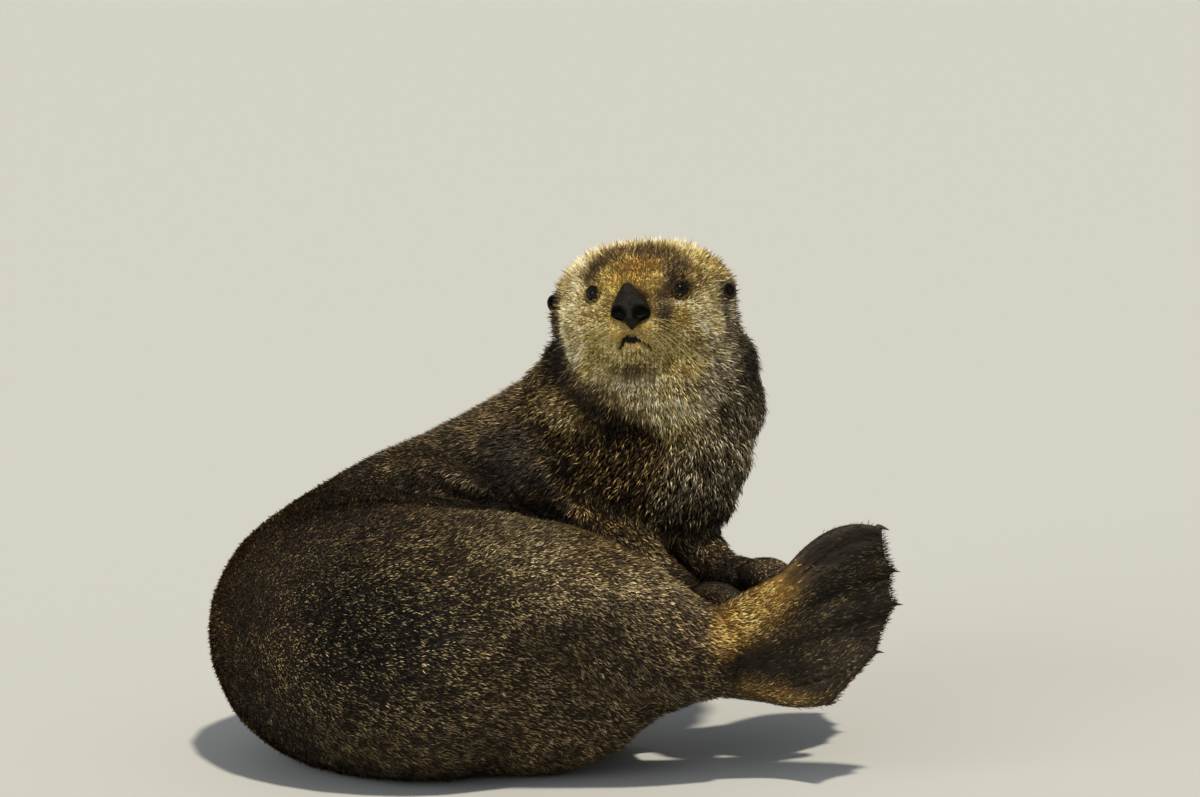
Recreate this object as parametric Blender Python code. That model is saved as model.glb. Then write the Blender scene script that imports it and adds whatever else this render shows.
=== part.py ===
"""A life-size sea otter at rest, curled on its rump with the head turned to look over its feet.

Frame: +Z up, the body's long side along X, head and hind feet towards +X, face towards -Y.
The origin is on the floor, under the middle of the animal's box. Lengths are in metres.

The flesh is laid out as round masses, each a loft of oval rings along a smooth path. A voxel
remesh melts them into one body. Tail, feet, paws, ears, eyes, nose and claws are let into it
with a fine gap, and flat cuts then part it where a person would name its parts. The outline is
that of the coat's tips.
"""

import math

import bmesh
import bpy
import numpy as np
from mathutils import Matrix, Vector
from mathutils.bvhtree import BVHTree

# Making sizes
BODY_VOXEL = 0.005
LIMB_VOXEL = 0.0025
BODY_TRIANGLES = 2440
LIMB_TRIANGLES = 110
HEAD_KEPT_ABOVE = 0.375
HEAD_KEPT_FACTOR = 0.003
GAP = 0.0003
RING_SIDES = 28
RINGS_PER_SPAN = 6
CAP_RINGS = 4
FLOOR = 0.006
FLOOR_BLOCK = 1.0

# Each station is the centre x, y, z, then half the side-to-side and half the up-and-down size.
TRUNK = (
    (0.026, -0.030, 0.088, 0.070, 0.076),
    (-0.050, -0.028, 0.124, 0.122, 0.122),
    (-0.142, -0.016, 0.130, 0.150, 0.134),
    (-0.197, 0.056, 0.128, 0.139, 0.130),
    (-0.150, 0.138, 0.158, 0.120, 0.118),
    (-0.060, 0.165, 0.210, 0.110, 0.106),
    (0.030, 0.154, 0.268, 0.106, 0.106),
    (0.086, 0.124, 0.335, 0.111, 0.102),
    (0.097, 0.106, 0.390, 0.099, 0.090),
    (0.092, 0.108, 0.422, 0.084, 0.074),
)
RUMP = ((-0.040, -0.022, 0.085), (0.140, 0.092, 0.085))
CHEST = ((0.100, 0.090, 0.288), (0.086, 0.078, 0.092))
THROAT = ((0.086, 0.064, 0.378), (0.078, 0.060, 0.060))
RIGHT_LEG = (
    (-0.060, -0.050, 0.182, 0.100, 0.084),
    (0.010, -0.080, 0.188, 0.086, 0.066),
    (0.060, -0.088, 0.164, 0.066, 0.066),
    (0.105, -0.088, 0.142, 0.050, 0.060),
    (0.148, -0.084, 0.131, 0.034, 0.045),
)
LEFT_LEG = (
    (-0.034, 0.050, 0.082, 0.092, 0.088),
    (0.032, 0.074, 0.070, 0.062, 0.070),
    (0.086, 0.066, 0.088, 0.046, 0.050),
    (0.130, 0.050, 0.112, 0.032, 0.036),
)
TAIL = (
    (0.040, -0.036, 0.086, 0.040, 0.044),
    (0.095, -0.040, 0.096, 0.024, 0.036),
    (0.150, -0.036, 0.114, 0.018, 0.030),
    (0.205, -0.024, 0.128, 0.015, 0.026),
    (0.262, -0.008, 0.140, 0.010, 0.014),
)
LEFT_FORELEG = (
    (0.116, 0.100, 0.234, 0.038, 0.040),
    (0.130, 0.080, 0.205, 0.032, 0.033),
    (0.160, 0.047, 0.184, 0.022, 0.023),
    (0.186, 0.026, 0.187, 0.019, 0.018),
)
RIGHT_FORELEG = (
    (0.040, 0.066, 0.242, 0.034, 0.036),
    (0.082, 0.030, 0.198, 0.028, 0.029),
    (0.124, 0.008, 0.172, 0.020, 0.021),
    (0.138, -0.006, 0.171, 0.018, 0.016),
)

# The head has its own frame: x to its right, y to the nose, z to the crown.
HEAD_CENTRE = (0.0888, 0.074, 0.4428)
HEAD_YAW = math.radians(-12)
HEAD_PITCH = math.radians(17)
HEAD_ROLL = math.radians(5)
# Distance behind the nose tip, half width, height of the top and depth of the bottom.
NOSE_TIP_Y = 0.088
HEAD_SQUARENESS = 2.45
HEAD_RINGS = (
    (0.004, 0.020, 0.002, -0.034),
    (0.016, 0.031, 0.011, -0.047),
    (0.030, 0.041, 0.022, -0.055),
    (0.044, 0.052, 0.033, -0.060),
    (0.060, 0.070, 0.046, -0.064),
    (0.084, 0.085, 0.059, -0.067),
    (0.110, 0.089, 0.063, -0.070),
    (0.136, 0.085, 0.058, -0.070),
    (0.156, 0.070, 0.046, -0.064),
    (0.172, 0.042, 0.026, -0.050),
)
CHEEK = ((0.036, 0.010, -0.018), (0.044, 0.050, 0.048))
WHISKER_PAD = ((0.021, 0.060, -0.028), (0.024, 0.023, 0.019))
CHIN = ((0.0, 0.052, -0.047), (0.023, 0.021, 0.015))
EYE_X = 0.0440
EYE_Z = 0.004
EYE_RADIUS = 0.0090
EYE_SHOWS = 0.0030
NOSE_CENTRE = (0.0, 0.0815, -0.0120)
NOSE_HALF = (0.0178, 0.0120, 0.0200)
EAR_CENTRE = (0.0860, 0.005, 0.007)
EAR_HALF = (0.0075, 0.0095, 0.0120)

# Hind foot: x to the toes, z to the fifth toe, y out of the sole. Toes go first to fifth.
TOE_ANGLES = tuple(math.radians(a) for a in (-21, 1, 15.5, 26, 39.5))
TOE_LENGTHS = (0.114, 0.151, 0.175, 0.184, 0.199)
TOE_BOWS = (-0.011, 0.003, 0.010, 0.018, 0.032)
TOE_HALF_GAP = 0.085
TOE_RADIUS = 0.0085
WEB_HALF = 0.0028
WEB_SCALLOP = 0.065
INSTEP = (0.033, -0.038, 0.030)
HEEL = (-0.014, 0.024, 0.036)
FOOT_COLUMNS = 17
FOOT_ROWS = 8
# Ankle, roll of the foot about its length, and its turn towards the middle line.
RIGHT_FOOT = ((0.152, -0.083, 0.132), 90.0, 4.0)
LEFT_FOOT = ((0.127, 0.049, 0.116), 165.0, 0.0)
HIND_FEET = (("right", RIGHT_FOOT, 1), ("left", LEFT_FOOT, -1))

# Forepaw, in a frame with y to the toes and z up out of its back.
PALM = ((0.0, 0.012, 0.0), (0.024, 0.026, 0.016))
FINGERS = ((-0.016, 0.031), (-0.0085, 0.036), (0.0, 0.038), (0.0085, 0.036), (0.016, 0.031))
FINGER_RADII = (0.0058, 0.0090, 0.0078)
LEFT_PAW = ((0.189, 0.023, 0.188), 108.0, 2.0)
RIGHT_PAW = ((0.140, -0.010, 0.172), 104.0, -2.0)
FORELEGS = (("right", RIGHT_FORELEG, RIGHT_PAW), ("left", LEFT_FORELEG, LEFT_PAW))

# Claws: half thickness at the root, length and droop of the tip.
HIND_CLAW = (0.0031, 0.0160, 0.0050)
FORE_CLAW = (0.0019, 0.0100, 0.0035)
CLAW_SIDES = 6
CLAW_RINGS = 4

# Flat cuts: a point on the plane, its normal, and how far the cut reaches.
HEAD_CUT = ((0.088, 0.104, 0.388), (0.0, -0.42, 0.90), 0.150)
NECK_CUT = ((0.078, 0.122, 0.325), (0.30, -0.36, 0.88), 0.200)
TORSO_CUT = ((-0.010, 0.058, 0.191), (0.268, 0.865, 0.423), 0.600)
# The hind legs are parted by two planes that meet in a line.
RIGHT_LEG_CUT = ((-0.010, -0.080, 0.158), (0.40, -0.45, 0.80), (0.95, -0.10, 0.25), 0.300)
LEFT_LEG_CUT = ((0.020, 0.040, 0.080), (0.35, 0.92, 0.15), (0.90, 0.10, 0.20), 0.300)

COAT = ("short_fur", (0.060, 0.045, 0.033), 0.70)
PALE_COAT = ("pale_fur", (0.420, 0.320, 0.190), 0.75)
SKIN = ("bare_skin", (0.030, 0.024, 0.020), 0.50)
EYE = ("eye", (0.008, 0.006, 0.005), 0.08)
CLAW = ("claw", (0.035, 0.028, 0.022), 0.35)


def clear_scene():
    for obj in list(bpy.data.objects):
        bpy.data.objects.remove(obj)


def make_material(name, colour, roughness):
    made = bpy.data.materials.new(name)
    made.use_nodes = True
    shader = made.node_tree.nodes["Principled BSDF"]
    shader.inputs["Base Color"].default_value = (*colour, 1.0)
    shader.inputs["Roughness"].default_value = roughness
    shader.inputs["Metallic"].default_value = 0.0
    return made


def new_object(name, bm):
    """Turns a closed bmesh into an object with its faces pointing out, and frees it."""
    bmesh.ops.recalc_face_normals(bm, faces=bm.faces)
    if bm.calc_volume(signed=True) < 0:
        bmesh.ops.reverse_faces(bm, faces=bm.faces)
    mesh = bpy.data.meshes.new(name)
    bm.to_mesh(mesh)
    bm.free()
    obj = bpy.data.objects.new(name, mesh)
    bpy.context.scene.collection.objects.link(obj)
    return obj


def apply_modifiers(obj):
    """Puts the evaluated mesh in the object's place."""
    graph = bpy.context.evaluated_depsgraph_get()
    graph.update()
    mesh = bpy.data.meshes.new_from_object(obj.evaluated_get(graph))
    obj.modifiers.clear()
    obj.data = mesh


def smooth_path(stations):
    """Rows of numbers along a Catmull-Rom curve through the stations."""
    rows = np.array(stations, float)
    rows = np.vstack([2 * rows[0] - rows[1], rows, 2 * rows[-1] - rows[-2]])
    made = []
    for i in range(1, len(rows) - 2):
        a, b, c, d = rows[i - 1 : i + 3]
        for t in np.arange(RINGS_PER_SPAN) / RINGS_PER_SPAN:
            square = (2 * a - 5 * b + 4 * c - d) * t**2
            cube = (3 * b - a - 3 * c + d) * t**3
            made.append(0.5 * (2 * b + (c - a) * t + square + cube))
    made.append(rows[-2])
    return np.array(made)


def skin_rings(bm, rings, flat=False):
    """Joins a list of rings of points with quads and closes both ends.

    A flat ring runs out along one face and back along the other, so its end is a strip.
    """
    rows = [[bm.verts.new(p) for p in ring] for ring in rings]
    for low, high in zip(rows, rows[1:]):
        for i in range(len(low)):
            j = (i + 1) % len(low)
            bm.faces.new((low[i], low[j], high[j], high[i]))
    for end in (rows[0][::-1], rows[-1]):
        if flat:
            for i in range(len(end) // 2 - 1):
                bm.faces.new((end[i], end[i + 1], end[-2 - i], end[-1 - i]))
        else:
            bm.faces.new(end)


def add_tube(bm, stations):
    """A tube of oval rings along the stations, with round ends."""
    path = smooth_path(stations)
    centres = path[:, :3]
    tangents = np.gradient(centres, axis=0)
    tangents /= np.linalg.norm(tangents, axis=1, keepdims=True)
    caps = [0.5 * math.pi * k / (CAP_RINGS + 0.5) for k in range(1, CAP_RINGS + 1)]
    last = len(path) - 1
    steps = [(0, -math.sin(turn), math.cos(turn)) for turn in caps[::-1]]
    steps += [(i, 0.0, 1.0) for i in range(last + 1)]
    steps += [(last, math.sin(turn), math.cos(turn)) for turn in caps]
    rings = []
    for i, shift, share in steps:
        across = np.cross(tangents[i], (0, 0, 1))
        across /= np.linalg.norm(across)
        rise = np.cross(across, tangents[i])
        centre = centres[i] + tangents[i] * shift * path[i, 3:5].min()
        ring = []
        for angle in np.arange(RING_SIDES) * 2 * math.pi / RING_SIDES:
            side = across * path[i, 3] * math.cos(angle)
            ring.append(centre + share * (side + rise * path[i, 4] * math.sin(angle)))
        rings.append(ring)
    skin_rings(bm, rings)


def add_ball(bm, centre, radii, frame=Matrix.Identity(4), fineness=3):
    place = frame @ Matrix.Translation(centre) @ Matrix.Diagonal((*radii, 1.0))
    return bmesh.ops.create_icosphere(bm, subdivisions=fineness, radius=1.0, matrix=place)["verts"]


def melt(obj, voxel, triangles, passes=8):
    """Melts overlapping solids into one smooth body of about so many triangles.

    The head keeps more of them than the rest.
    """
    remesh = obj.modifiers.new("melt", "REMESH")
    remesh.mode = "VOXEL"
    remesh.voxel_size = voxel
    smooth = obj.modifiers.new("smooth", "SMOOTH")
    smooth.factor = 0.5
    smooth.iterations = passes
    apply_modifiers(obj)
    faces = sum(len(face.vertices) - 2 for face in obj.data.polygons)
    plain = obj.vertex_groups.new(name="plain")
    for vert in obj.data.vertices:
        plain.add([vert.index], 1.0 if vert.co.z < HEAD_KEPT_ABOVE else 0.5, "REPLACE")
    thin = obj.modifiers.new("thin", "DECIMATE")
    thin.vertex_group = "plain"
    thin.vertex_group_factor = HEAD_KEPT_FACTOR
    thin.ratio = triangles / faces
    apply_modifiers(obj)


def grown(obj):
    """A copy of a solid, larger by the gap all round."""
    bm = bmesh.new()
    bm.from_mesh(obj.data)
    bm.normal_update()
    moves = [vert.normal * GAP for vert in bm.verts]
    for vert, move in zip(bm.verts, moves):
        vert.co += move
    return new_object(obj.name + "_socket", bm)


def combine(obj, other, operation):
    cut = obj.modifiers.new("cut", "BOOLEAN")
    cut.operation = operation
    cut.solver = "EXACT"
    cut.object = other
    apply_modifiers(obj)


def let_in(piece, host):
    """Cuts room for a piece into its host."""
    socket = grown(piece)
    combine(host, socket, "DIFFERENCE")
    bpy.data.objects.remove(socket)


def add_block(corner, edges):
    """A slanted block: its corner, and its three edges as vectors."""
    bm = bmesh.new()
    bmesh.ops.create_cube(bm, size=1.0)
    for vert in bm.verts:
        shares = vert.co + Vector((0.5, 0.5, 0.5))
        vert.co = Vector(corner) + sum((e * s for e, s in zip(edges, shares)), Vector())
    return new_object("block", bm)


def plane_block(point, normal, reach, back=0.0):
    """All that lies within reach beyond a plane, or from a little behind it."""
    normal = Vector(normal).normalized()
    across = normal.orthogonal().normalized()
    along = normal.cross(across)
    corner = Vector(point) - normal * back - (across + along) * reach
    return add_block(corner, (across * 2 * reach, along * 2 * reach, normal * (2 * reach + back)))


def wedge_block(point, first, second, reach, back=0.0):
    """All that lies within reach beyond both of two planes that meet at a point."""
    first = Vector(first).normalized()
    second = Vector(second).normalized()
    line = first.cross(second).normalized()
    on_first = (second - first * first.dot(second)).normalized()
    on_second = (first - second * first.dot(second)).normalized()
    corner = Vector(point) - (on_first + on_second) * back - line * reach
    return add_block(corner, (on_first * 2 * reach, on_second * 2 * reach, line * 2 * reach))


def part_off(body, name, make_block, cut):
    """Takes what lies in a block off the body, as a new object."""
    block = make_block(*cut)
    taken = body.copy()
    taken.data = body.data.copy()
    taken.name = name
    bpy.context.scene.collection.objects.link(taken)
    combine(taken, block, "INTERSECT")
    bpy.data.objects.remove(block)
    block = make_block(*cut, back=GAP)
    combine(body, block, "DIFFERENCE")
    bpy.data.objects.remove(block)
    return taken


def head_frame():
    turn = Matrix.Rotation(math.pi + HEAD_YAW, 4, "Z")
    nod = Matrix.Rotation(HEAD_PITCH, 4, "X")
    tilt = Matrix.Rotation(HEAD_ROLL, 4, "Y")
    return Matrix.Translation(HEAD_CENTRE) @ turn @ nod @ tilt


def add_head(bm):
    """The head as a loft from the nose back, with cheeks, whisker pads and chin."""
    frame = head_frame()
    power = 2 / HEAD_SQUARENESS
    rings = []
    for back, half_width, top, bottom in smooth_path(HEAD_RINGS):
        ring = []
        for i in range(RING_SIDES):
            angle = 2 * math.pi * i / RING_SIDES
            side = math.copysign(abs(math.cos(angle)) ** power, math.cos(angle))
            rise = math.copysign(abs(math.sin(angle)) ** power, math.sin(angle))
            height = top if rise > 0 else -bottom
            ring.append(frame @ Vector((half_width * side, NOSE_TIP_Y - back, height * rise)))
        rings.append(ring)
    skin_rings(bm, rings)
    for side in (-1, 1):
        for centre, radii in (CHEEK, WHISKER_PAD):
            add_ball(bm, (side * centre[0], *centre[1:]), radii, frame)
    add_ball(bm, *CHIN, frame)


def make_body():
    bm = bmesh.new()
    for limb in (TRUNK, RIGHT_LEG, LEFT_LEG):
        add_tube(bm, limb)
    for ball in (RUMP, CHEST, THROAT):
        add_ball(bm, *ball)
    add_head(bm)
    body = new_object("hips", bm)
    melt(body, BODY_VOXEL, BODY_TRIANGLES)
    return body


def make_limb(name, stations):
    bm = bmesh.new()
    add_tube(bm, stations)
    limb = new_object(name, bm)
    melt(limb, LIMB_VOXEL, LIMB_TRIANGLES)
    return limb


def foot_frame(foot, side):
    """Places a hind foot: side is 1 for the right, -1 for the left, which is its mirror image."""
    ankle, roll, turn = foot
    rolled = Matrix.Rotation(math.radians(side * roll - side * 90), 4, "X")
    turned = Matrix.Rotation(math.radians(side * turn), 4, "Z")
    return Matrix.Translation(ankle) @ turned @ rolled @ Matrix.Diagonal((1, -side, 1, 1))


def between(values, share):
    """Reads a list of evenly spaced values at a share of its length."""
    at = share * (len(values) - 1)
    low = min(int(at), len(values) - 2)
    return values[low] + (values[low + 1] - values[low]) * (at - low)


def cup(share, along):
    """How far the sole is dished: its edges curl, and its middle sinks."""
    return 0.030 * along**1.3 * (2 * share - 1) ** 2 - 0.012 * math.sin(math.pi * along)


def foot_line(share, along):
    """A point midway through the foot, from the heel (along 0) to the toe tips (along 1)."""
    gap = (share * (len(TOE_ANGLES) - 1)) % 1.0
    length = between(TOE_LENGTHS, share) * (1 - WEB_SCALLOP * math.sin(math.pi * gap))
    angle = between(TOE_ANGLES, share)
    tip = Vector((length * math.cos(angle), 0, length * math.sin(angle)))
    instep = Vector((INSTEP[0], 0, INSTEP[1] + (INSTEP[2] - INSTEP[1]) * share))
    heel = Vector((HEEL[0], 0, HEEL[2] * (2 * share - 1)))
    point = heel.lerp(instep, min(1.0, 4 * along)).lerp(tip, along)
    bow = between(TOE_BOWS, share) * 4 * along * (1 - along)
    return point + Vector((0, cup(share, along), bow))


def foot_half(share, along):
    """Half the foot's thickness: a web between round toes, and an oval heel."""
    gap = (share * (len(TOE_ANGLES) - 1)) % 1.0
    beside = min(gap, 1 - gap) * 2 * TOE_HALF_GAP * along * between(TOE_LENGTHS, share)
    radius = TOE_RADIUS * (1.15 - 0.4 * along)
    toe = math.sqrt(max(radius**2 - beside**2, 0.0))
    heel = HEEL[1] * (1 - along) ** 2.2 * math.sqrt(max(1 - (2 * share - 1) ** 2, 0.02))
    return max(WEB_HALF * (1.25 - 0.5 * along), toe, heel)


def make_foot(name, frame):
    shares = np.linspace(0, 1, FOOT_COLUMNS)
    rings = []
    for along in np.linspace(0, 1, FOOT_ROWS):
        ring = []
        for face in (1, -1):
            for share in shares[::face]:
                out = Vector((0, face * foot_half(share, along), 0))
                ring.append(frame @ (foot_line(share, along) + out))
        rings.append(ring)
    bm = bmesh.new()
    skin_rings(bm, rings, flat=True)
    bmesh.ops.triangulate(bm, faces=bm.faces)
    return new_object(name, bm)


def paw_frame(paw):
    place, turn, nod = paw
    turned = Matrix.Rotation(math.radians(-turn), 4, "Z")
    return Matrix.Translation(place) @ turned @ Matrix.Rotation(math.radians(nod), 4, "X")


def make_paw(name, frame):
    bm = bmesh.new()
    add_ball(bm, *PALM, frame)
    for x, y in FINGERS:
        add_ball(bm, (x, y, -0.001), FINGER_RADII, frame)
    paw = new_object(name, bm)
    melt(paw, LIMB_VOXEL, LIMB_TRIANGLES, passes=3)
    return paw


def make_claw(name, frame, sizes):
    """A curved, tapering claw along the frame's y, drooping towards its -z."""
    half, length, droop = sizes
    rings = []
    for i in range(CLAW_RINGS):
        along = i / (CLAW_RINGS - 0.6)
        radius = half * (1 - along**1.6)
        ring = []
        for k in range(CLAW_SIDES):
            angle = 2 * math.pi * k / CLAW_SIDES
            height = radius * 1.3 * math.sin(angle) - droop * along**2
            ring.append(frame @ Vector((radius * math.cos(angle), length * along, height)))
        rings.append(ring)
    bm = bmesh.new()
    skin_rings(bm, rings)
    bmesh.ops.triangulate(bm, faces=bm.faces)
    return new_object(name, bm)


def toe_claw_frame(foot_place, number):
    """The claw's frame at a toe's tip: y on along the toe, z out of the foot's back."""
    share = number / (len(TOE_ANGLES) - 1)
    tip = foot_place @ foot_line(share, 1.0)
    onward = (tip - foot_place @ foot_line(share, 0.9)).normalized()
    back = (foot_place.to_3x3() @ Vector((0, -1, 0))).normalized()
    side = onward.cross(back).normalized()
    back = side.cross(onward)
    turn = Matrix((side, onward, back)).transposed().to_4x4()
    return Matrix.Translation(tip - onward * 0.004) @ turn


def make_eye(name, frame, side, skin):
    """An eyeball that shows a little through the face."""
    start = frame @ Vector((side * EYE_X, 0.2, EYE_Z))
    ahead = frame.to_3x3() @ Vector((0, -1, 0))
    hit, normal, _, _ = skin.ray_cast(start, ahead)
    centre = hit - normal * (EYE_RADIUS - EYE_SHOWS)
    bm = bmesh.new()
    add_ball(bm, centre, (EYE_RADIUS,) * 3, fineness=2)
    return new_object(name, bm)


def make_nose(frame):
    """The nose pad: a ball drawn to a point at the top and narrowed at the foot."""
    bm = bmesh.new()
    for vert in add_ball(bm, (0, 0, 0), (1, 1, 1)):
        height = vert.co.z
        narrow = 1 - 0.50 * max(height, 0) ** 1.2 - 0.25 * max(-height, 0) ** 2
        vert.co.x *= narrow
        vert.co.y *= 1 - 0.25 * max(height, 0)
        vert.co = Vector(c * h for c, h in zip(vert.co, NOSE_HALF)) + Vector(NOSE_CENTRE)
    bmesh.ops.transform(bm, matrix=frame, verts=bm.verts)
    return new_object("nose", bm)


def make_ear(name, frame, side):
    """A small thick ear, dished on its front."""
    bm = bmesh.new()
    for vert in add_ball(bm, (0, 0, 0), (1, 1, 1), fineness=2):
        rim = vert.co.x**2 + vert.co.z**2
        if vert.co.y > 0:
            vert.co.y *= 0.2 + 0.8 * rim
        vert.co = Vector(c * h for c, h in zip(vert.co, EAR_HALF))
    place = frame @ Matrix.Translation((side * EAR_CENTRE[0], *EAR_CENTRE[1:]))
    bmesh.ops.transform(bm, matrix=place, verts=bm.verts)
    return new_object(name, bm)


def make_limb_ends(body):
    """Hind feet, forepaws and their claws, let into the body."""
    coated = []
    bare = []
    claws = []
    for name, foot, side in HIND_FEET:
        frame = foot_frame(foot, side)
        made = make_foot(name + "_hind_foot", frame)
        let_in(made, body)
        for number in range(len(TOE_ANGLES)):
            claw_frame = toe_claw_frame(frame, number)
            claw = make_claw(f"{name}_hind_claw_{number + 1}", claw_frame, HIND_CLAW)
            let_in(claw, made)
            claws.append(claw)
        bare.append(made)
    for name, stations, paw in FORELEGS:
        foreleg = make_limb(name + "_foreleg", stations)
        let_in(foreleg, body)
        frame = paw_frame(paw)
        made = make_paw(name + "_forepaw", frame)
        let_in(made, foreleg)
        let_in(made, body)
        for number, (x, y) in enumerate(FINGERS):
            claw_frame = frame @ Matrix.Translation((x, y + 0.004, 0.0))
            claw = make_claw(f"{name}_fore_claw_{number + 1}", claw_frame, FORE_CLAW)
            let_in(claw, made)
            claws.append(claw)
        coated += [foreleg, made]
    return coated, bare, claws


def make_face(body):
    """Eyes, nose and ears, let into the head."""
    frame = head_frame()
    graph = bpy.context.evaluated_depsgraph_get()
    skin = BVHTree.FromObject(body, graph)
    eyes = [make_eye(n, frame, s, skin) for n, s in (("right_eye", 1), ("left_eye", -1))]
    dark = [make_nose(frame)]
    dark += [make_ear(n, frame, s) for n, s in (("right_ear", 1), ("left_ear", -1))]
    for piece in eyes + dark:
        let_in(piece, body)
    return eyes, dark


def part_flesh(body):
    """Parts the body into head, neck, torso and legs, and leaves the hips."""
    head = part_off(body, "head", plane_block, HEAD_CUT)
    flesh = [body]
    cuts = (
        ("neck", plane_block, NECK_CUT),
        ("torso", plane_block, TORSO_CUT),
        ("right_hind_leg", wedge_block, RIGHT_LEG_CUT),
        ("left_hind_leg", wedge_block, LEFT_LEG_CUT),
    )
    for name, make_block, cut in cuts:
        flesh.append(part_off(body, name, make_block, cut))
    return head, flesh


def cut_resting_flats(body):
    """Cuts the flats that the animal rests on."""
    below = plane_block((0, 0, FLOOR), (0, 0, -1), FLOOR_BLOCK)
    combine(body, below, "DIFFERENCE")
    bpy.data.objects.remove(below)


def finish(groups):
    """Gives each object its material, and moves the origin under the middle of the box."""
    objects = [obj for members, _ in groups for obj in members]
    corners = np.array([vert.co for obj in objects for vert in obj.data.vertices])
    low, high = corners.min(axis=0), corners.max(axis=0)
    shift = Matrix.Translation((-(low[0] + high[0]) / 2, -(low[1] + high[1]) / 2, -low[2]))
    for members, settings in groups:
        dress = make_material(*settings)
        for obj in members:
            obj.data.transform(shift)
            obj.data.materials.clear()
            obj.data.materials.append(dress)
            obj.data.shade_smooth()
            obj.data.set_sharp_from_angle(angle=math.radians(40))


def main():
    clear_scene()
    body = make_body()
    tail = make_limb("tail", TAIL)
    let_in(tail, body)
    cut_resting_flats(body)
    paws, feet, claws = make_limb_ends(body)
    eyes, dark = make_face(body)
    head, flesh = part_flesh(body)
    coats = (([head], PALE_COAT), (flesh + [tail] + paws, COAT))
    finish((*coats, (feet + dark, SKIN), (eyes, EYE), (claws, CLAW)))


if __name__ == "__main__":
    main()
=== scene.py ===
"""The looks of a life-size sea otter: one seamless skin, a coat of solid tufts, and the face.

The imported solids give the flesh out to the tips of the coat. The skin is melted from copies of them
and drawn in by the depth of the coat, and the tufts fill that depth again. Lengths are in metres,
+Z is up, the face looks towards -Y and the feet point to +X.
"""

import logging
import math
from dataclasses import dataclass
from enum import Enum

import bmesh
import bpy
import numpy as np
from mathutils import Matrix, Vector


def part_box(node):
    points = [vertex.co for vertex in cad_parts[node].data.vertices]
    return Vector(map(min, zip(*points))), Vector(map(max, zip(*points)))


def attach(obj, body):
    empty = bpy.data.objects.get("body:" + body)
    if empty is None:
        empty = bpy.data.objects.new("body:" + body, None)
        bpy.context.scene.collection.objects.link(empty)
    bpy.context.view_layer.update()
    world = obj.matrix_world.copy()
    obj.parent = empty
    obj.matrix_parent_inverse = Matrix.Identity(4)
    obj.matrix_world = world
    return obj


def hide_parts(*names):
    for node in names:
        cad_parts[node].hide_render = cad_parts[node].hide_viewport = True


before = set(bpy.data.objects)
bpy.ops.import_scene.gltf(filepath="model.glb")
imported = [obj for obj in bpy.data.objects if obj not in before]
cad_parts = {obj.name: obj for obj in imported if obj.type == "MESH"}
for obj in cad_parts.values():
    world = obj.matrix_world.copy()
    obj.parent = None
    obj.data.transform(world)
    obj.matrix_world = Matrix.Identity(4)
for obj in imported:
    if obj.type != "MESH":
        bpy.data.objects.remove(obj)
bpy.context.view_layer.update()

Array = np.ndarray
Pair = tuple[float, float]
Point = tuple[float, float, float]
Piece = bpy.types.Object
Mesh = bpy.types.Mesh
Material = bpy.types.Material
Tree = bpy.types.NodeTree
Items = bpy.types.bpy_prop_collection
MM = 0.001
CM2 = 1e-4
LINE_STEPS = 8
LOCK_SHIFT = 300
FLOOR_GAP = 0.0002
LOG = logging.getLogger("otter")


# ---------------------------------------------------------------- numbers and fields

def linear(hex_colour: str) -> Array:
    """Turns an sRGB hex colour into linear red, green and blue.

    Args:
        hex_colour: a hash sign and six hex digits.

    Returns:
        Three linear values.
    """
    digits = np.array([int(hex_colour[i:i + 2], 16) for i in (1, 3, 5)]) / 255
    return np.where(digits <= 0.04045, digits / 12.92, ((digits + 0.055) / 1.055) ** 2.4)


def ramp(low: float, high: float, values: Array) -> Array:
    """Smooth step: 0 at low, 1 at high, with no slope at either end."""
    share = np.clip((values - low) / (high - low), 0.0, 1.0)
    return share * share * (3 - 2 * share)


def unit(vectors: Array) -> Array:
    """Vectors of length one, along the last axis."""
    return vectors / np.maximum(np.linalg.norm(vectors, axis=-1, keepdims=True), 1e-12)


def blob(points: Array, centre: tuple, size: tuple) -> Array:
    """A soft spot: e to the minus squared distance from its centre, each axis in its own size."""
    away = (points - np.array(centre)) / np.array(size)
    return np.exp(-(away ** 2).sum(axis=1))


def mixed(first: Array, second: Array, share: Array) -> Array:
    """Blends two colours, or two rows of vectors, by a share for each point."""
    return first + (second - first) * share[:, None]


def cell_hash(cells: Array, seed: int) -> Array:
    """A random value from 0 to 1 for each whole-number cell, the same for the same cell."""
    x, y, z = cells.T
    value = (x * 73856093) ^ (y * 19349663) ^ (z * 83492791) ^ (seed * 26544357)
    value = ((value ^ (value >> 13)) * 1274126177) & 0x7FFFFFFF
    value = ((value ^ (value >> 15)) * 668265263) & 0x7FFFFFFF
    return ((value >> 7) & 0xFFFF) / 65535


def noise(points: Array, size: float, seed: int) -> Array:
    """Smooth random values from -1 to 1.

    Each corner of a cubic lattice has a hashed value. A point takes the mean of its cell's eight
    corners, weighted by the product of smooth steps along the three axes.

    Args:
        points: N points.
        size: the lattice's spacing.
        seed: a whole number that picks the pattern.

    Returns:
        N values.
    """
    places = points / size + 500.0 + 7.31 * seed
    cells = np.floor(places).astype(np.int64)
    inside = places - cells
    inside = inside * inside * (3 - 2 * inside)
    total = np.zeros(len(points))
    for corner in np.ndindex(2, 2, 2):
        weight = np.prod(np.where(corner, inside, 1 - inside), axis=1)
        total += weight * (cell_hash(cells + corner, seed) * 2 - 1)
    return total


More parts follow.
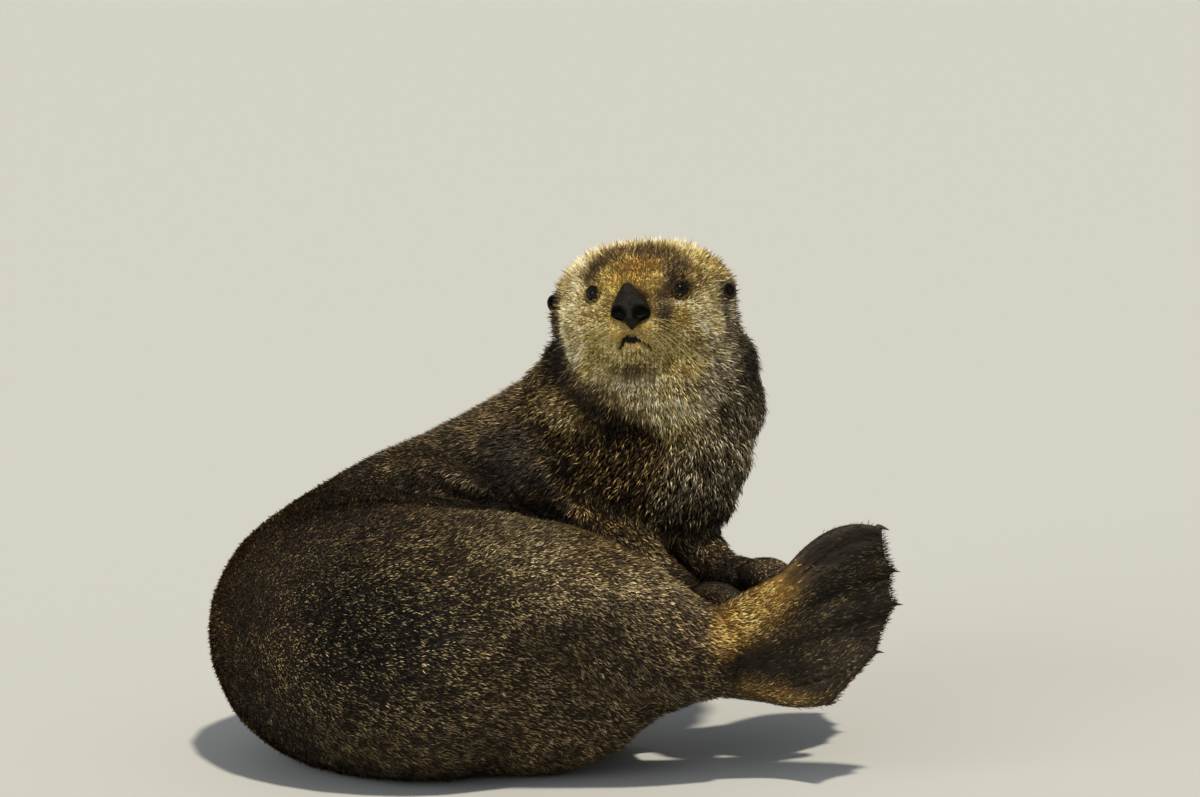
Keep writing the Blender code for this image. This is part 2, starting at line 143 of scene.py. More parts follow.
def smooth_path(stations: Array, steps: int) -> Array:
    """Rows along a Catmull-Rom curve: each span is the cubic through four neighbouring stations.

    Args:
        stations: rows of numbers.
        steps: rows made for each span.

    Returns:
        The rows, from the first station to the last.
    """
    rows = np.asarray(stations, float)
    rows = np.vstack([2 * rows[0] - rows[1], rows, 2 * rows[-1] - rows[-2]])
    t = (np.arange(steps) / steps)[:, None]
    made = []
    for i in range(1, len(rows) - 2):
        a, b, c, d = rows[i - 1:i + 3]
        cube = (3 * b - a - 3 * c + d) * t ** 3
        made.append(0.5 * (2 * b + (c - a) * t + (2 * a - 5 * b + 4 * c - d) * t ** 2 + cube))
    made.append(rows[-2][None])
    return np.vstack(made)


def off_line(points: Array, stations: tuple, deep: float = 1.0) -> tuple[Array, Array]:
    """Where points lie from the nearest of a curve's own points.

    Args:
        points: N points.
        stations: the curve's stations.
        deep: how much of a distance front to back counts.

    Returns:
        N offsets from the curve, and N shares that fade to 0 at its two ends.
    """
    line = smooth_path(stations, LINE_STEPS)
    apart = (points[:, None, :] - line[None]) * np.array((1.0, deep, 1.0))
    nearest = (apart ** 2).sum(axis=2).argmin(axis=1)
    fade = np.sin(np.pi * (nearest + 0.5) / len(line)) ** 0.5
    return apart[np.arange(len(points)), nearest], fade


@dataclass(frozen=True)
class Trace:
    """A line on the body, as wide as its soft edge reaches.

    deep is how much of a distance front to back counts, and shift moves the line.
    """

    line: tuple
    width: float
    deep: float = 1.0
    shift: Point = (0.0, 0.0, 0.0)

    def near(self, points: Array) -> Array:
        """How near points lie: e to the minus squared distance over squared width, faded."""
        away, fade = off_line(points - np.array(self.shift), self.line, self.deep)
        return np.exp(-(away ** 2).sum(axis=1) / self.width ** 2) * fade


def off_arc(local: Array, arc: tuple) -> Array:
    """Distance of head points from an arc of (x, z) stations, seen from the front."""
    line = smooth_path(arc, LINE_STEPS)
    return np.sqrt(((local[:, None, (0, 2)] - line[None]) ** 2).sum(axis=2)).min(axis=1)


# ---------------------------------------------------------------- meshes

def full_turn(count: int) -> Array:
    """So many even angles round a circle."""
    return np.linspace(0, 2 * np.pi, count, endpoint=False)


def polar_grid(rows: int, columns: int) -> list[Array]:
    """Angles from a ball's pole, and angles round it, between the two poles."""
    return np.meshgrid(np.linspace(0, np.pi, rows + 2)[1:-1], full_turn(columns), indexing="ij")


def in_scene(name: str, data: bpy.types.ID) -> Piece:
    """A new object with this data, linked to the scene."""
    made = bpy.data.objects.new(name, data)
    bpy.context.scene.collection.objects.link(made)
    return made


def new_piece(name: str, points: Array, faces: Array | list, smooth: bool = True) -> Piece:
    """A mesh object at the origin.

    Args:
        name: the piece's name.
        points: N vertices.
        faces: an array of triangles, or lists of vertex numbers.
        smooth: shades the faces smooth.

    Returns:
        The object, linked to the scene.
    """
    mesh = bpy.data.meshes.new(name)
    if isinstance(faces, np.ndarray):
        count, sides = faces.shape
        mesh.vertices.add(len(points))
        mesh.vertices.foreach_set("co", points.astype(np.float32).ravel())
        mesh.loops.add(count * sides)
        mesh.loops.foreach_set("vertex_index", faces.astype(np.int32).ravel())
        mesh.polygons.add(count)
        mesh.polygons.foreach_set("loop_start", np.arange(count, dtype=np.int32) * sides)
        mesh.update(calc_edges=True)
    else:
        mesh.from_pydata([tuple(p) for p in points], [], faces)
    mesh.polygons.foreach_set("use_smooth", np.full(len(mesh.polygons), smooth))
    return in_scene(name, mesh)


def face_out(piece: Piece) -> None:
    """Merges doubles and turns all faces outwards."""
    bm = bmesh.new()
    bm.from_mesh(piece.data)
    bmesh.ops.remove_doubles(bm, verts=bm.verts, dist=1e-6)
    bmesh.ops.recalc_face_normals(bm, faces=bm.faces)
    if bm.calc_volume(signed=True) < 0:
        bmesh.ops.reverse_faces(bm, faces=bm.faces)
    bm.to_mesh(piece.data)
    bm.free()


def ringed_piece(name: str, rings: Array, first: Array, last: Array) -> Piece:
    """A closed surface through rings of points, with a pole at each end.

    Args:
        name: the piece's name.
        rings: rows by columns of points; the columns of a row go round a ring.
        first: the pole before the first ring.
        last: the pole after the last ring.

    Returns:
        The object, its faces pointing out.
    """
    rows, columns, _ = rings.shape
    number = 1 + np.arange(rows * columns).reshape(rows, columns)
    after = np.roll(number, -1, axis=1)
    quads = np.stack([number[:-1], after[:-1], after[1:], number[1:]], axis=-1).reshape(-1, 4)
    start = np.stack([np.zeros(columns, int), after[0], number[0]], axis=-1)
    end = np.stack([number[-1], after[-1], np.full(columns, 1 + rows * columns)], axis=-1)
    points = np.vstack([first[None], rings.reshape(-1, 3), last[None]])
    piece = new_piece(name, points, start.tolist() + quads.tolist() + end.tolist())
    face_out(piece)
    return piece


def rings_along(path: Array, side: Array, up: Array, radii: Array, sides: int) -> Array:
    """Rings of points round a path.

    Args:
        path: R points.
        side: the ring's first half axis, in radii.
        up: its second half axis, in radii.
        radii: R by 1 radii.
        sides: points in a ring.

    Returns:
        R by sides points.
    """
    turn = full_turn(sides)
    ring = np.cos(turn)[None, :, None] * side + np.sin(turn)[None, :, None] * up
    return path[:, None] + ring * radii[:, None]


def pillow_piece(name: str, upper: Array, lower: Array) -> Piece:
    """A closed surface of two grids that meet all round their borders.

    Args:
        name: the piece's name.
        upper: rows by columns of points.
        lower: as many points, equal to the upper ones along the borders.

    Returns:
        The object, its faces pointing out.
    """
    rows, columns, _ = upper.shape
    number = np.arange(rows * columns).reshape(rows, columns)
    corners = (number[:-1, :-1], number[:-1, 1:], number[1:, 1:], number[1:, :-1])
    quads = np.stack(corners, axis=-1).reshape(-1, 4)
    faces = np.vstack([quads, quads[:, ::-1] + rows * columns])
    points = np.vstack([upper.reshape(-1, 3), lower.reshape(-1, 3)])
    piece = new_piece(name, points, faces.tolist())
    face_out(piece)
    return piece


def joined(name: str, pieces: list[Piece]) -> Piece:
    """Joins pieces into the first, under a new name."""
    first = pieces[0]
    if len(pieces) > 1:
        with bpy.context.temp_override(active_object=first, selected_editable_objects=pieces):
            bpy.ops.object.join()
    first.name = name
    first.data.name = name
    return first


def apply_modifiers(piece: Piece) -> None:
    """Puts the evaluated mesh in the piece's place."""
    graph = bpy.context.evaluated_depsgraph_get()
    graph.update()
    mesh = bpy.data.meshes.new_from_object(piece.evaluated_get(graph))
    piece.modifiers.clear()
    piece.data = mesh


def melt(piece: Piece, voxel: float, passes: int) -> None:
    """Voxel remesh, then passes that move each vertex halfway to its neighbours' mean."""
    remesh = piece.modifiers.new("melt", "REMESH")
    remesh.mode = "VOXEL"
    remesh.voxel_size = voxel
    ease = piece.modifiers.new("ease", "SMOOTH")
    ease.factor = 0.5
    ease.iterations = passes
    apply_modifiers(piece)


def rows_of(items: Items, key: str, width: int, whole: bool = False) -> Array:
    """Reads one property of all items.

    Args:
        items: a mesh's vertices, loops or the like.
        key: the property's name.
        width: how many numbers each item has.
        whole: for whole numbers.

    Returns:
        A row for each item.
    """
    flat = np.empty(len(items) * width, np.int32 if whole else np.float32)
    items.foreach_get(key, flat)
    return flat.reshape(-1, width).astype(int if whole else float)


def points_of(mesh: Mesh) -> Array:
    """The mesh's vertices, N by 3."""
    return rows_of(mesh.vertices, "co", 3)


def normals_of(mesh: Mesh) -> Array:
    """The mesh's vertex normals, N by 3."""
    return rows_of(mesh.vertex_normals, "vector", 3)


def triangles_of(mesh: Mesh) -> tuple[Array, Array, Array]:
    """A mesh's triangles as vertex and as loop numbers, and each loop's place on OFBake."""
    mesh.calc_loop_triangles()
    vertices = rows_of(mesh.loop_triangles, "vertices", 3, whole=True)
    loops = rows_of(mesh.loop_triangles, "loops", 3, whole=True)
    return vertices, loops, rows_of(mesh.uv_layers["OFBake"].data, "uv", 2)


def set_points(mesh: Mesh, points: Array) -> None:
    """Moves the mesh's vertices."""
    mesh.vertices.foreach_set("co", points.astype(np.float32).ravel())
    mesh.update()


def set_colours(mesh: Mesh, name: str, colours: Array) -> None:
    """Writes a linear colour for each vertex."""
    layer = mesh.attributes.new(name, "FLOAT_COLOR", "POINT")
    opaque = np.concatenate([colours, np.ones((len(colours), 1))], axis=1)
    layer.data.foreach_set("color", opaque.astype(np.float32).ravel())


def set_values(mesh: Mesh, name: str, values: Array) -> None:
    """Writes a number for each vertex."""
    layer = mesh.attributes.new(name, "FLOAT", "POINT")
    layer.data.foreach_set("value", values.astype(np.float32))


def flesh_copy(names: tuple[str, ...], grow: float) -> Piece:
    """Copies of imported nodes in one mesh, each merged and grown so that neighbours overlap.

    Args:
        names: the nodes.
        grow: how far each vertex moves out along its normal.

    Returns:
        One object of closed shells.
    """
    flesh = bmesh.new()
    for name in names:
        part = bmesh.new()
        part.from_mesh(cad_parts[name].data)
        bmesh.ops.remove_doubles(part, verts=part.verts, dist=1e-5)
        part.normal_update()
        moves = [vert.normal * grow for vert in part.verts]
        for vert, move in zip(part.verts, moves):
            vert.co += move
        shell = bpy.data.meshes.new(name)
        part.to_mesh(shell)
        part.free()
        flesh.from_mesh(shell)
        bpy.data.meshes.remove(shell)
    mesh = bpy.data.meshes.new("flesh")
    flesh.to_mesh(mesh)
    flesh.free()
    return in_scene("flesh", mesh)


def dress(piece: Piece, material: Material, slot: str, *nodes: str) -> None:
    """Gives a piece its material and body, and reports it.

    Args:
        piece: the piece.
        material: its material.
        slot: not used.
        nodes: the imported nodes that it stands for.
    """
    piece.data.materials.clear()
    piece.data.materials.append(material)
    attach(piece, "root")
    if nodes:
        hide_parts(*nodes)
    triangles = sum(len(face.vertices) - 2 for face in piece.data.polygons)
    LOG.info("%s: %d triangles", piece.name, triangles)


# ---------------------------------------------------------------- finishes

def feed(tree: Tree, node: bpy.types.Node, inputs: dict) -> None:
    """Sets a node's inputs, by name or number, each to a value or by a link from an output."""
    for key, value in inputs.items():
        if isinstance(value, bpy.types.NodeSocket):
            tree.links.new(value, node.inputs[key])
        else:
            node.inputs[key].default_value = value


def add_node(tree: Tree, kind: str, inputs: dict, **settings: str) -> bpy.types.Node:
    """Adds a shader node.

    Args:
        tree: the material's node tree.
        kind: the node type's name after the word ShaderNode.
        inputs: its inputs, as feed takes them.
        settings: properties of the node itself.

    Returns:
        The node.
    """
    node = tree.nodes.new("ShaderNode" + kind)
    for key, value in settings.items():
        setattr(node, key, value)
    feed(tree, node, inputs)
    return node


def set_stops(node: bpy.types.Node, stops: dict[float, str]) -> None:
    """Sets a colour ramp's two stops, each a position and an sRGB hex colour."""
    for element, (position, colour) in zip(node.color_ramp.elements, stops.items()):
        element.position = position
        element.color = (*linear(colour), 1.0)


def new_material(name: str) -> tuple:
    """An empty material with its tree, its Principled shader and its Object coordinates."""
    material = bpy.data.materials.new(name)
    material.use_nodes = True
    tree = material.node_tree
    place = add_node(tree, "TexCoord", {}).outputs["Object"]
    return material, tree, tree.nodes["Principled BSDF"], place


@dataclass(frozen=True)
class FurFinish:
    """Guard hair of a sea otter: dry keratin fibres, matt, with a little soft shine along them.

    The colour is the marking that each vertex carries, broken up at the width of a lock of hair, so
    that no tuft has one flat tone. Single hairs are finer than the render shows, so the strands in
    the bump are drawn at 0.8 mm.
    """

    name: str = "guard_hair"
    roughness: float = 0.4
    specular: float = 0.12
    lock_mm: float = 2.4
    strand_mm: float = 0.8
    strand_depth_mm: float = 0.3

    def material(self) -> Material:
        """The marking times a lock-sized noise, with strands in the bump."""
        material, tree, shader, place = new_material(self.name)
        marking = add_node(tree, "Attribute", {}, attribute_name="marking")
        lock = add_node(tree, "TexNoise", {
            "Vector": place, "Scale": 1 / (self.lock_mm * MM), "Detail": 2.0})
        tone = add_node(tree, "MapRange", {
            "Value": lock.outputs["Fac"], "From Min": 0.3, "From Max": 0.7,
            "To Min": 0.8, "To Max": 1.2})
        toned = add_node(tree, "VectorMath", {
            0: marking.outputs["Color"], 1: tone.outputs["Result"]}, operation="MULTIPLY")
        strand = add_node(tree, "TexNoise", {
            "Vector": place, "Scale": 1 / (self.strand_mm * MM), "Detail": 1.0})
        bump = add_node(tree, "Bump", {
            "Height": strand.outputs["Fac"], "Strength": 0.25,
            "Distance": self.strand_depth_mm * MM})
        feed(tree, shader, {
            "Base Color": toned.outputs["Vector"], "Normal": bump.outputs["Normal"],
            "Roughness": self.roughness, "Specular IOR Level": self.specular})
        return material


@dataclass(frozen=True)
class HideFinish:
    """The skin under the coat, and the thinly haired hide of the feet.

    Under the coat it is dense dark underfur, whose clumps are bump. Where the vertex value bare is
    1 it is fine-grained hide with long creases and a slight moist gloss.
    """

    name: str = "otter_hide"
    underfur_mm: float = 1.6
    grain_mm: float = 1.3
    crease_mm: float = 7.0
    depth_mm: float = 1.5
    furred_roughness: float = 0.8
    bare_roughness: float = 0.52
    specular: float = 0.35

    def material(self) -> Material:
        """Markings, with clumps or grain in the bump by how bare the skin is."""
        material, tree, shader, place = new_material(self.name)
        marking = add_node(tree, "Attribute", {}, attribute_name="marking")
        bare = add_node(tree, "Attribute", {}, attribute_name="bare").outputs["Fac"]
        fur = add_node(tree, "TexNoise", {
            "Vector": place, "Scale": 1 / (self.underfur_mm * MM), "Detail": 3.0})
        grain = add_node(tree, "TexVoronoi", {
            "Vector": place, "Scale": 1 / (self.grain_mm * MM)})
        stretched = add_node(tree, "Mapping", {"Vector": place, "Scale": (0.22, 1.0, 1.0)})
        crease = add_node(tree, "TexNoise", {
            "Vector": stretched.outputs["Vector"], "Scale": 1 / (self.crease_mm * MM),
            "Detail": 4.0, "Roughness": 0.65})
        hide = add_node(tree, "Math", {
            0: grain.outputs["Distance"], 1: 0.25, 2: crease.outputs["Fac"]},
            operation="MULTIPLY_ADD")
        height = add_node(tree, "Mix", {0: bare, 2: fur.outputs["Fac"], 3: hide.outputs[0]})
        bump = add_node(tree, "Bump", {
            "Height": height.outputs[0], "Strength": 0.7, "Distance": self.depth_mm * MM})
        tone = add_node(tree, "MapRange", {
            "Value": crease.outputs["Fac"], "From Min": 0.3, "From Max": 0.7,
            "To Min": 0.65, "To Max": 1.4})
        toned = add_node(tree, "VectorMath", {
            0: marking.outputs["Color"], 1: tone.outputs["Result"]}, operation="MULTIPLY")
        rough = add_node(tree, "MapRange", {
            "Value": bare, "To Min": self.furred_roughness, "To Max": self.bare_roughness})
        feed(tree, shader, {
            "Base Color": toned.outputs["Vector"], "Roughness": rough.outputs["Result"],
            "Normal": bump.outputs["Normal"], "Specular IOR Level": self.specular})
        return material


@dataclass(frozen=True)
class GrainedFinish:
    """A natural surface with a fine grain: nose leather, ear skin, lid skin, horn or whisker."""

    name: str
    colour: str
    second_colour: str
    grain_mm: float
    depth_mm: float
    roughness: float
    specular: float = 0.4
    # Painted shade: darkens the colour where the vertex value shade is 1, as in the nostrils.
    shaded: bool = False
    shaded_share: float = 0.03

    def material(self) -> Material:
        """Cells of grain in the bump, and two tones in cloudy patches, darkened as painted shade
        where shade is 1.
        """
        material, tree, shader, place = new_material(self.name)
        cells = add_node(tree, "TexVoronoi", {
            "Vector": place, "Scale": 1 / (self.grain_mm * MM)})
        patches = add_node(tree, "TexNoise", {
            "Vector": place, "Scale": 0.2 / (self.grain_mm * MM), "Detail": 3.0})
        blend = add_node(tree, "ValToRGB", {"Fac": patches.outputs["Fac"]})
        set_stops(blend, {0.35: self.colour, 0.7: self.second_colour})
        bump = add_node(tree, "Bump", {
            "Height": cells.outputs["Distance"], "Strength": 0.5, "Distance": self.depth_mm * MM})
        colour = blend.outputs["Color"]
        if self.shaded:
            shade = add_node(tree, "Attribute", {}, attribute_name="shade")
            light = add_node(tree, "MapRange", {
                "Value": shade.outputs["Fac"], "To Min": 1.0, "To Max": self.shaded_share})
            colour = add_node(tree, "VectorMath", {0: colour, 1: light.outputs["Result"]},
                              operation="MULTIPLY").outputs["Vector"]
        feed(tree, shader, {
            "Base Color": colour, "Normal": bump.outputs["Normal"],
            "Roughness": self.roughness, "Specular IOR Level": self.specular})
        return material


@dataclass(frozen=True)
class EyeFinish:
    """A wet brown-black eye: a dark iris round a black pupil under a clear, glossy cornea."""

    name: str = "wet_eye"
    iris: str = "#120b07"
    pupil: str = "#040303"
    fleck_mm: float = 0.5
    roughness: float = 0.1
    specular: float = 0.14

    def material(self) -> Material:
        """The vertex value iris, 1 in the iris and 0 in pupil and rim, with fine flecks."""
        material, tree, shader, place = new_material(self.name)
        iris = add_node(tree, "Attribute", {}, attribute_name="iris")
        flecks = add_node(tree, "TexNoise", {
            "Vector": place, "Scale": 1 / (self.fleck_mm * MM), "Detail": 2.0})
        share = add_node(tree, "Math", {
            0: iris.outputs["Fac"], 1: flecks.outputs["Fac"]}, operation="MULTIPLY")
        blend = add_node(tree, "ValToRGB", {"Fac": share.outputs[0]})
        set_stops(blend, {0.15: self.pupil, 0.6: self.iris})
        feed(tree, shader, {
            "Base Color": blend.outputs["Color"], "Roughness": self.roughness,
            "Specular IOR Level": self.specular})
        return material


@dataclass(frozen=True)
class FloorFinish:
    """Painted plaster: matt and even, with a faint trowelled unevenness."""

    name: str = "painted_plaster"
    colour: str = "#b0b5b9"
    roughness: float = 0.8
    patches_per_metre: float = 6.0

    def material(self) -> Material:
        """One colour with soft clouds in the bump."""
        material, tree, shader, place = new_material(self.name)
        cloud = add_node(tree, "TexNoise", {
            "Vector": place, "Scale": self.patches_per_metre, "Detail": 3.0})
        bump = add_node(tree, "Bump", {"Height": cloud.outputs["Fac"], "Strength": 0.05})
        feed(tree, shader, {
            "Base Color": (*linear(self.colour), 1.0), "Normal": bump.outputs["Normal"],
            "Roughness": self.roughness})
        return material


# Moist pebbled leather: black, with a broken low gloss, and painted shade inside the nostrils.
NOSE_LEATHER = GrainedFinish("nose_leather", "#0c0a08", "#1c1713", 1.3, 1.4, 0.46, 0.12, True)
# Thin, dry, nearly bare skin: a soft brown-black.
EAR_SKIN = GrainedFinish("ear_skin", "#17110d", "#2c221b", 1.5, 0.2, 0.6, 0.25)
# Bare black skin at the rims of the lids, matt, so that only the eye shines.
LID_SKIN = GrainedFinish("lid_skin", "#080605", "#100b08", 0.8, 0.1, 0.6, 0.1)
# Worn keratin: a smooth horn, brown-black and grey-brown in cloudy patches.
CLAW_HORN = GrainedFinish("claw_horn", "#1d1713", "#4a3d30", 2.5, 0.06, 0.32, 0.45)
# Stiff straw-coloured hairs, smooth, without a grain that shows.
WHISKER_HAIR = GrainedFinish("whisker_hair", "#a8965f", "#cdbb84", 3.0, 0.02, 0.4)


# ---------------------------------------------------------------- the head's frame

@dataclass
class HeadFrame:
    """The head's own axes: x to its right, y to the nose, z to the crown.

    The nose's node gives its place.
    """

    yaw: float = math.radians(-12)
    pitch: float = math.radians(17)
    roll: float = math.radians(5)
    nose: Point = (0.0, 0.0815, -0.012)

    def __post_init__(self) -> None:
        """Works out the rotation from head axes to world axes, and the head's centre."""
        yaw = Matrix.Rotation(math.pi + self.yaw, 3, "Z")
        nod = Matrix.Rotation(self.pitch, 3, "X")
        self.turn = np.array(yaw @ nod @ Matrix.Rotation(self.roll, 3, "Y"))
        low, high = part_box("nose")
        self.centre = np.array((low + high) / 2) - self.turn @ np.array(self.nose)

    def to_world(self, points: Array | tuple) -> Array:
        """Head coordinates to world coordinates."""
        return np.asarray(points, float) @ self.turn.T + self.centre

    def to_head(self, points: Array) -> Array:
        """World coordinates to head coordinates."""
        return (np.asarray(points, float) - self.centre) @ self.turn


HEAD = HeadFrame()


# ---------------------------------------------------------------- feet

@dataclass(frozen=True)
class HindFoot:
    """A webbed hind foot: long toes from an oval heel, the fifth the longest, with webs between.

    In the foot's own axes x runs to the toes, z to the fifth toe and y out of the sole.
    """

    node: str
    ankle: Point
    roll: float
    turn: float
    side: int
    toe_angles: tuple = (-21, 1, 15.5, 26, 39.5)
    toe_lengths: tuple = (0.114, 0.151, 0.175, 0.184, 0.199)
    toe_bows: tuple = (-0.011, 0.003, 0.01, 0.018, 0.032)
    toe_half_gap: float = 0.085
    toe_radius: float = 0.0085
    web_half: float = 0.0028
    web_scallop: float = 0.024
    fold_height: float = 0.0009
    instep: tuple = (0.033, -0.038, 0.03)
    heel: tuple = (-0.014, 0.024, 0.036)
    edge: float = 0.0045
    inset: float = 0.0008
    columns: int = 97
    rows: int = 46

    @property
    def place(self) -> Array:
        """The rotation or mirroring from foot axes to world axes."""
        rolled = Matrix.Rotation(math.radians(self.side * self.roll - self.side * 90), 3, "X")
        turned = Matrix.Rotation(math.radians(self.side * self.turn), 3, "Z")
        return np.array(turned @ rolled @ Matrix.Diagonal((1, -self.side, 1)))

    def to_world(self, points: Array) -> Array:
        """Foot coordinates to world coordinates."""
        return points @ self.place.T + np.array(self.ankle)

    def to_foot(self, points: Array) -> Array:
        """World coordinates to foot coordinates."""
        return (points - np.array(self.ankle)) @ self.place

    def on_sole(self, local: Array) -> tuple[Array, Array]:
        """How far foot points are from the ankle across the sole, and at what angle."""
        x, _, z = local.T
        return np.hypot(x, z), np.arctan2(z, np.maximum(x, 0.001))

    def middle(self, share: Array, along: Array) -> Array:
        """Points midway through the foot's thickness.

        A point runs from the heel to the instep and on to the tip of the toe at its share. The webs
        end a little short of the toes, the toes bow, and the sole is dished.

        Args:
            share: 0 at the first toe's edge to 1 at the fifth toe's.
            along: 0 at the heel to 1 at the toe tips.

        Returns:
            Points in foot coordinates.
        """
        toes = np.arange(5) / 4
        gap = (share * 4) % 1.0
        length = np.interp(share, toes, self.toe_lengths)
        length = length * (1 - self.web_scallop * np.sin(np.pi * gap))
        angle = np.radians(np.interp(share, toes, self.toe_angles))
        flat = np.zeros_like(share)
        tip = np.stack([length * np.cos(angle), flat, length * np.sin(angle)], axis=-1)
        across = self.instep[1] + (self.instep[2] - self.instep[1]) * share
        instep = np.stack([flat + self.instep[0], flat, across], axis=-1)
        heel = np.stack([flat + self.heel[0], flat, self.heel[2] * (2 * share - 1)], axis=-1)
        point = heel + (instep - heel) * np.minimum(1.0, 4 * along)[..., None]
        point = point + (tip - point) * along[..., None]
        bow = np.interp(share, toes, self.toe_bows) * 4 * along * (1 - along)
        cup = 0.03 * along ** 1.3 * (2 * share - 1) ** 2 - 0.012 * np.sin(np.pi * along)
        return point + np.stack([flat, cup, bow], axis=-1)

    def half(self, share: Array, along: Array) -> Array:
        """Half the thickness: a web between round toes, an oval heel, and rounded rims.

        Args:
            share: 0 at the first toe's edge to 1 at the fifth toe's.
            along: 0 at the heel to 1 at the toe tips.

        Returns:
            Half thicknesses.
        """
        gap = (share * 4) % 1.0
        length = np.interp(share, np.arange(5) / 4, self.toe_lengths)
        beside = np.minimum(gap, 1 - gap) * 2 * self.toe_half_gap * along * length
        radius = self.toe_radius * (1.15 - 0.4 * along)
        toe = np.sqrt(np.maximum(radius ** 2 - beside ** 2, 0.0))
        oval = np.sqrt(np.maximum(1 - (2 * share - 1) ** 2, 0.02))
        heel = self.heel[1] * (1 - along) ** 2.2 * oval
        web = self.web_half * (1.25 - 0.5 * along)
        solid = np.cbrt(web ** 3 + toe ** 3 + heel ** 3) - self.inset
        sides = np.minimum(share, 1 - share) * (0.06 + 0.1 * along)
        rim = np.minimum(sides, np.minimum(1 - along, along) * length)
        rim = np.clip(rim / self.edge, 0, 1)
        return solid * np.sqrt(1 - (1 - rim) ** 2)

    def folds(self, share: Array, along: Array) -> Array:
        """Long folds of the web between the toes: a sum of two sines across the share."""
        open_web = np.sin(np.pi * ((share * 4) % 1.0)) ** 2
        open_web = open_web * ramp(0.25, 0.5, along) * ramp(1.02, 0.85, along)
        wave = np.sin(2 * np.pi * (share * 21 + 0.6 * np.sin(5 * along)))
        wave += 0.6 * np.sin(2 * np.pi * (share * 37 + 0.9 * np.sin(7 * along + 1)))
        return self.fold_height * wave * open_web

    def piece(self) -> Piece:
        """The foot as a closed surface, centred on its node's box."""
        steps = np.linspace(0, 1, self.columns)
        share = steps - 0.8 / (2 * np.pi) * np.sin(2 * np.pi * steps)
        share, along = np.meshgrid(share, np.linspace(0, 1, self.rows) ** 0.9)
        middle, half = self.middle(share, along), self.half(share, along)
        fold = self.folds(share, along)
        out = np.stack([np.zeros_like(half), np.ones_like(half), np.zeros_like(half)], axis=-1)
        upper = middle + out * (half + fold)[..., None]
        lower = middle - out * (half - fold)[..., None]
        upper, lower = self.to_world(upper), self.to_world(lower)
        low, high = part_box(self.node)
        both = np.concatenate([upper.reshape(-1, 3), lower.reshape(-1, 3)])
        shift = np.array((low + high) / 2) - (both.min(axis=0) + both.max(axis=0)) / 2
        return pillow_piece(self.node + "_skin", upper + shift, lower + shift)


HIND_FEET = (
    HindFoot("right_hind_foot", (0.1549, -0.1367, 0.126), 90.0, 4.0, 1),
    HindFoot("left_hind_foot", (0.1299, -0.0047, 0.11), 165.0, 0.0, -1),
)


# ---------------------------------------------------------------- the lie of the coat

# Each station: x, y, z, the flesh's radius there, and the length of the coat's tufts in
# millimetres. The lines run down the back and round the rump, along the tail, the right and the
# left hind leg, and the right and the left foreleg.
GUIDES = (
    ((0.091, 0.01, 0.44, 0.084, 9.0), (0.096, 0.054, 0.416, 0.088, 14.0),
     (0.1, 0.052, 0.384, 0.099, 17.0), (0.089, 0.07, 0.329, 0.106, 16.0),
     (0.033, 0.1, 0.262, 0.106, 9.0), (-0.057, 0.111, 0.204, 0.108, 7.5),
     (-0.147, 0.084, 0.152, 0.118, 7.0), (-0.194, 0.002, 0.124, 0.134, 7.0),
     (-0.139, -0.07, 0.126, 0.14, 7.0), (-0.047, -0.082, 0.118, 0.122, 7.0),
     (0.029, -0.084, 0.082, 0.075, 7.5)),
    ((0.043, -0.09, 0.08, 0.042, 8.5), (0.098, -0.094, 0.09, 0.03, 8.0),
     (0.153, -0.09, 0.108, 0.024, 7.5), (0.208, -0.078, 0.122, 0.02, 7.0),
     (0.262, -0.062, 0.134, 0.012, 6.5)),
    ((-0.057, -0.104, 0.176, 0.092, 6.5), (0.013, -0.134, 0.182, 0.076, 6.5),
     (0.063, -0.142, 0.158, 0.066, 6.5), (0.108, -0.142, 0.136, 0.055, 7.0),
     (0.151, -0.138, 0.125, 0.038, 7.0), (0.19, -0.137, 0.135, 0.03, 7.0),
     (0.26, -0.135, 0.175, 0.03, 7.5), (0.33, -0.132, 0.2, 0.03, 9.0)),
    ((-0.031, -0.004, 0.076, 0.09, 8.5), (0.035, 0.02, 0.064, 0.066, 8.5),
     (0.089, 0.012, 0.082, 0.048, 8.0), (0.133, -0.004, 0.106, 0.034, 7.0),
     (0.2, 0.01, 0.12, 0.03, 6.0), (0.3, 0.03, 0.135, 0.03, 7.0)),
    ((0.043, 0.012, 0.236, 0.036, 10.0), (0.085, -0.024, 0.192, 0.03, 8.0),
     (0.127, -0.046, 0.166, 0.022, 5.0), (0.141, -0.06, 0.165, 0.018, 3.5),
     (0.185, -0.074, 0.163, 0.016, 2.5)),
    ((0.119, 0.046, 0.228, 0.04, 12.0), (0.133, 0.026, 0.199, 0.034, 8.0),
     (0.163, -0.007, 0.178, 0.025, 6.0), (0.189, -0.028, 0.181, 0.02, 4.0),
     (0.232, -0.042, 0.18, 0.016, 2.5)),
)


